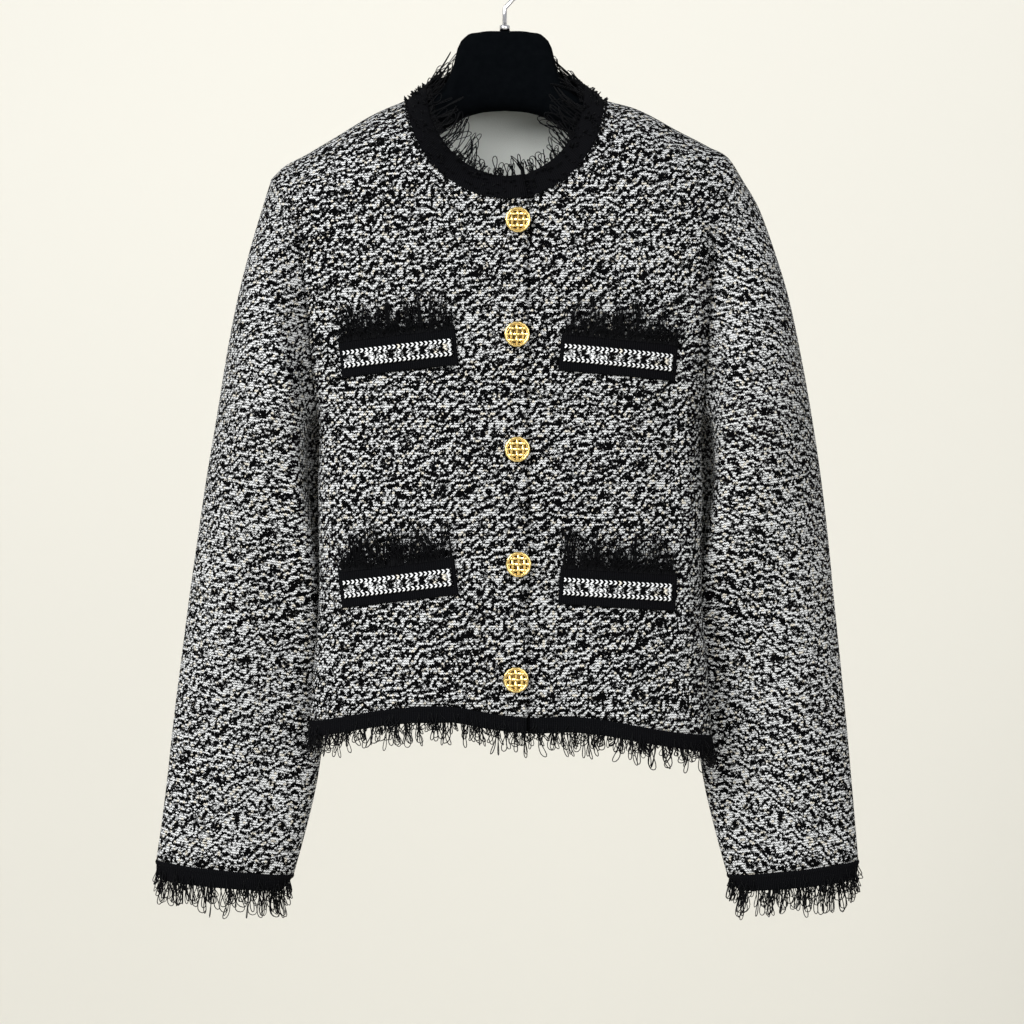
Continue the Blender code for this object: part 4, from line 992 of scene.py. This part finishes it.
welt_knit = marl("marled_welt", WELT_WALE, WELT_COURSE, 0.9, 0.34, turned=True, chains=1.0)
pocket_rng = np.random.default_rng(8)
for name, pocket in POCKETS.items():
    low, high = -WELT[1] / 2 - TRIM_BELOW, WELT[1] / 2 + TRIM_ABOVE
    half = WELT[0] / 2 + TRIM_SIDE
    height = TRIM_GAP + TRIM_THICK
    grid, normals, place = pocket_grid(pocket, low, high, half, 20, 60, height, 0.5)
    trim = cloth_wall("trim_" + name, grid, normals, TRIM_THICK, place, black_rib)
    dress(trim, "pocket_trim_" + name)
    wide, tall = WELT[0] / 2, WELT[1] / 2
    top = height + WELT_GAP + WELT_THICK
    grid, normals, place = pocket_grid(pocket, -tall, tall, wide, 12, 56, top, 0.6)
    piece = cloth_wall("welt_" + name, grid, normals, WELT_THICK, place, welt_knit)
    dress(piece, "pocket_welt_" + name)

    edge, normals, _ = pocket_grid(pocket, high - 3, high - 2, half - 1, 2, 90, height, 0)
    reach = high + LOOP_REACH
    above, _, _ = pocket_grid(pocket, reach, reach + 1, half - 1, 2, 90, height, 0)
    shares = pocket_rng.uniform(0, 1, POCKET_LOOPS)
    roots, along, away = along_edge(edge[0], normals[0], shares)
    tips, _, _ = along_edge(above[0], normals[0], shares)
    roots = roots - away * pocket_rng.uniform(-0.8, 0.8, POCKET_LOOPS)[:, None]
    shape = loop_shapes(pocket_rng, POCKET_LOOPS, (7, 36), (1.2, 3.2), 4.5, (0.5, 3.5), 2.6)
    piece = yarn_loops("loops_pocket_" + name, roots, unit(tips - roots), along, away, shape)
    dress(piece, "pocket_fringe_" + name)


# ------------------------ buttons
# Five cast gold buttons, 22 mm across, sewn to the front on top through a shank behind: a
# polished ring round an open basket weave of flat bars over a back plate painted dark as shade.
BUTTONS = ((11.5, 241.7), (10.7, 339.35), (10.9, 437.0), (12.0, 534.65), (9.8, 632.3))
RING, INNER_RING, RIPPLES = 9.75, 8.3, 14
BAR_PITCH, BAR_REACH, BAR_HEIGHT, BAR_WAVE = 5.0, 9.2, 4.3, 0.65
# The back plate and shank as rings of radius and height from the front's face.
PLATE = ((0.05, 0.6), (2.8, 0.6), (2.8, 2.2), (9.4, 2.3), (9.4, 3.0), (0.05, 3.1))


def bar(path, wide, thick, sides, closed):
    """Points and faces of a bar along a path in the plane of a button: its section is an oval,
    wide across that plane and thick towards the front."""
    ends = np.roll(path, -1, axis=0) - np.roll(path, 1, axis=0)
    run = unit(ends if closed else np.gradient(path, axis=0))
    out = np.array([0.0, -1.0, 0.0])
    side = unit(np.cross(run, out))
    turn = even_turns(sides)
    ring = side[:, None] * (wide * np.cos(turn))[:, None] + out * (thick * np.sin(turn))[:, None]
    return (path[:, None] + ring).reshape(-1, 3), tube_faces(len(path), sides, closed)


def button_parts():
    """The ring and the woven bars of a button, round the origin: the outer ring swells RIPPLES
    times a turn, and each bar waves over and under those that cross it."""
    turn = even_turns(56)
    circle = stacked(np.cos(turn), np.zeros(56), np.sin(turn))
    rope = 1 + 0.02 * np.cos(turn * RIPPLES)[:, None]
    parts = [bar(circle * RING * rope + [0, -4.5, 0], 1.15, 1.25, 10, True)]
    parts.append(bar(circle * INNER_RING + [0, -3.9, 0], 0.5, 0.7, 6, True))
    for k, place in enumerate((-BAR_PITCH, 0.0, BAR_PITCH)):
        reach = math.sqrt(BAR_REACH**2 - place**2)
        along, across = np.linspace(-reach, reach, 26), np.full(26, place)
        wave = BAR_WAVE * np.cos(np.pi * along / BAR_PITCH) * (-1) ** k
        for path in ((along, wave - BAR_HEIGHT, across), (across, -wave - BAR_HEIGHT, along)):
            parts.append(bar(np.stack(path, axis=-1), 1.3, 0.5, 8, False))
    points, faces = zip(*parts, strict=True)
    starts = running([len(some) for some in points[:-1]])
    faces = [some + start for some, start in zip(faces, starts, strict=True)]
    return np.concatenate(points), np.concatenate(faces)


def metal(name, colour, roughness):
    """Polished metal with faint scratches that vary its roughness."""
    n = Nodes(name)
    place = n.add("ShaderNodeTexCoord").outputs["Object"]
    rubbed = n.noise(place, 900.0, 3.0)
    shader = n.shader.inputs
    shader["Base Color"].default_value = (*colour, 1)
    shader["Metallic"].default_value = 1.0
    n.tree.links.new(n.times(rubbed, 0.14, roughness), shader["Roughness"])
    return n.material


gold = metal("gold_metal", (0.74, 0.54, 0.20), 0.14)
# The back plate's gold is painted dark, as the shade seen through the openwork.
gold_plate_painted_shade = metal("gold_in_shadow", (0.16, 0.10, 0.03), 0.4)
points, faces = button_parts()
turn = even_turns(40)
radius, height = np.array(PLATE).T[..., None]
plate = [radius * np.cos(turn), -height * np.ones(40), radius * np.sin(turn)]
plate = np.stack(plate, axis=-1).reshape(-1, 3)
plate_faces = tube_faces(len(PLATE), 40)
for k, (x, drop) in enumerate(BUTTONS):
    place = body_point(x, drop, "front")
    piece = put_in(f"gold_button_{k + 1}", points + place, faces, gold)
    dress(piece, f"button_{k + 1}")
    back = put_in(f"button_plate_{k + 1}", plate + place, plate_faces, gold_plate_painted_shade)
    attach(back, "root")


# ------------------------ hanger and hook
# A wide padded hanger covered in black flock, with a bare neck plate, and a polished steel
# hook in a collar at its top. It holds the jacket by the shoulders.
HANGER = table("out top bottom deep", [
    (0, 67.5, 137, 15), (22, 68.5, 139, 15), (35, 73, 143, 15.5), (41.5, 83, 146, 16),
    (45, 98, 148, 16.5), (51, 112, 152, 17), (60, 122.5, 158, 18), (75, 130.5, 166, 19),
    (90, 136.5, 173, 20), (114, 147, 184, 20), (153, 171, 202, 19), (178, 186, 213, 16),
    (188, 193, 214, 11),
])
HOOK_BEND, HOOK_WIRE, HOOK_COLLAR = 21.0, 2.0, 4.6

# Black flock: hardly any shine, a nap that is lighter in places, and a fine grain.
n = Nodes("black_flock")
place = n.add("ShaderNodeTexCoord").outputs["Object"]
nap, grain = n.noise(place, 160.0, 5.0), n.noise(place, 2600.0, 1.0)
tone = n.mix(nap, (0.0007, 0.0010, 0.0014, 1), (0.0022, 0.0028, 0.0035, 1))
flock = n.finish(tone, grain, 0.0003, 1.0, shine=0.01)


def rounded_end(ring, side):
    """Three ever smaller rings that close an end of the hanger, each a little further out."""
    middle = ring.mean(axis=0)
    steps = ((0.9, 0.6), (0.6, 1.2), (0.02, 1.5))
    return [middle + (ring - middle) * size + [side * out, 0, 0] for size, out in steps]


half = np.linspace(0, HANGER["out"][-1], 60)
at = np.concatenate([-half[:0:-1], half])
top, bottom, deep = (
    smooth(np.abs(at), HANGER["out"], HANGER[key])[:, None] for key in ("top", "bottom", "deep")
)
# The section is a superellipse, a little squarer than an oval.
turn = even_turns(36)
y, z = (np.sign(a) * np.abs(a) ** (2 / 2.6) for a in (np.cos(turn), np.sin(turn)))
rings = [at[:, None] * np.ones(36), deep * y, (bottom - top) / 2 * z - (bottom + top) / 2]
rings = np.stack(rings, axis=-1)
rings = np.concatenate([rounded_end(rings[0], -1)[::-1], rings, rounded_end(rings[-1], 1)])
faces = tube_faces(len(rings), 36)
piece = put_in("padded_hanger", rings.reshape(-1, 3), faces, flock)
dress(piece, "hanger")

# The collar and the hook are one path of x, height and radius: up the collar and the shank,
# then round the bend, with both ends closed.
foot = 0.3 - HANGER["top"][0]
low = HOOK_WIRE - 2 * HOOK_BEND
line = [(0, foot, 0.05), (0, foot, HOOK_COLLAR), (0, foot + 4.4, HOOK_COLLAR), (0, foot + 5, 3.9)]
line += [(0, foot + 5.3, HOOK_WIRE), (0, low - 9, HOOK_WIRE), (0, low - 7, HOOK_WIRE)]
turn = np.radians(np.linspace(-68, 200, 50))
bend = [HOOK_BEND * np.cos(turn), HOOK_WIRE - HOOK_BEND + HOOK_BEND * np.sin(turn)]
bend = stacked(*bend, np.full(50, HOOK_WIRE))
line = np.concatenate([line, bend, bend[-1:] - [0, 0, HOOK_WIRE - 0.05]])
run = unit(np.gradient(line[:, :2], axis=0))
run[:5] = (0, 1)
turn = even_turns(18)
radius = line[:, 2:]
across = radius * np.cos(turn)
x, z = line[:, :1] - across * run[:, 1:], line[:, 1:2] + across * run[:, :1]
points = stacked(x, radius * np.sin(turn), z).reshape(-1, 3)
steel = metal("hook_steel", (0.62, 0.62, 0.64), 0.12)
piece = put_in("steel_hook", points, tube_faces(len(line), 18), steel)
dress(piece, "hook")
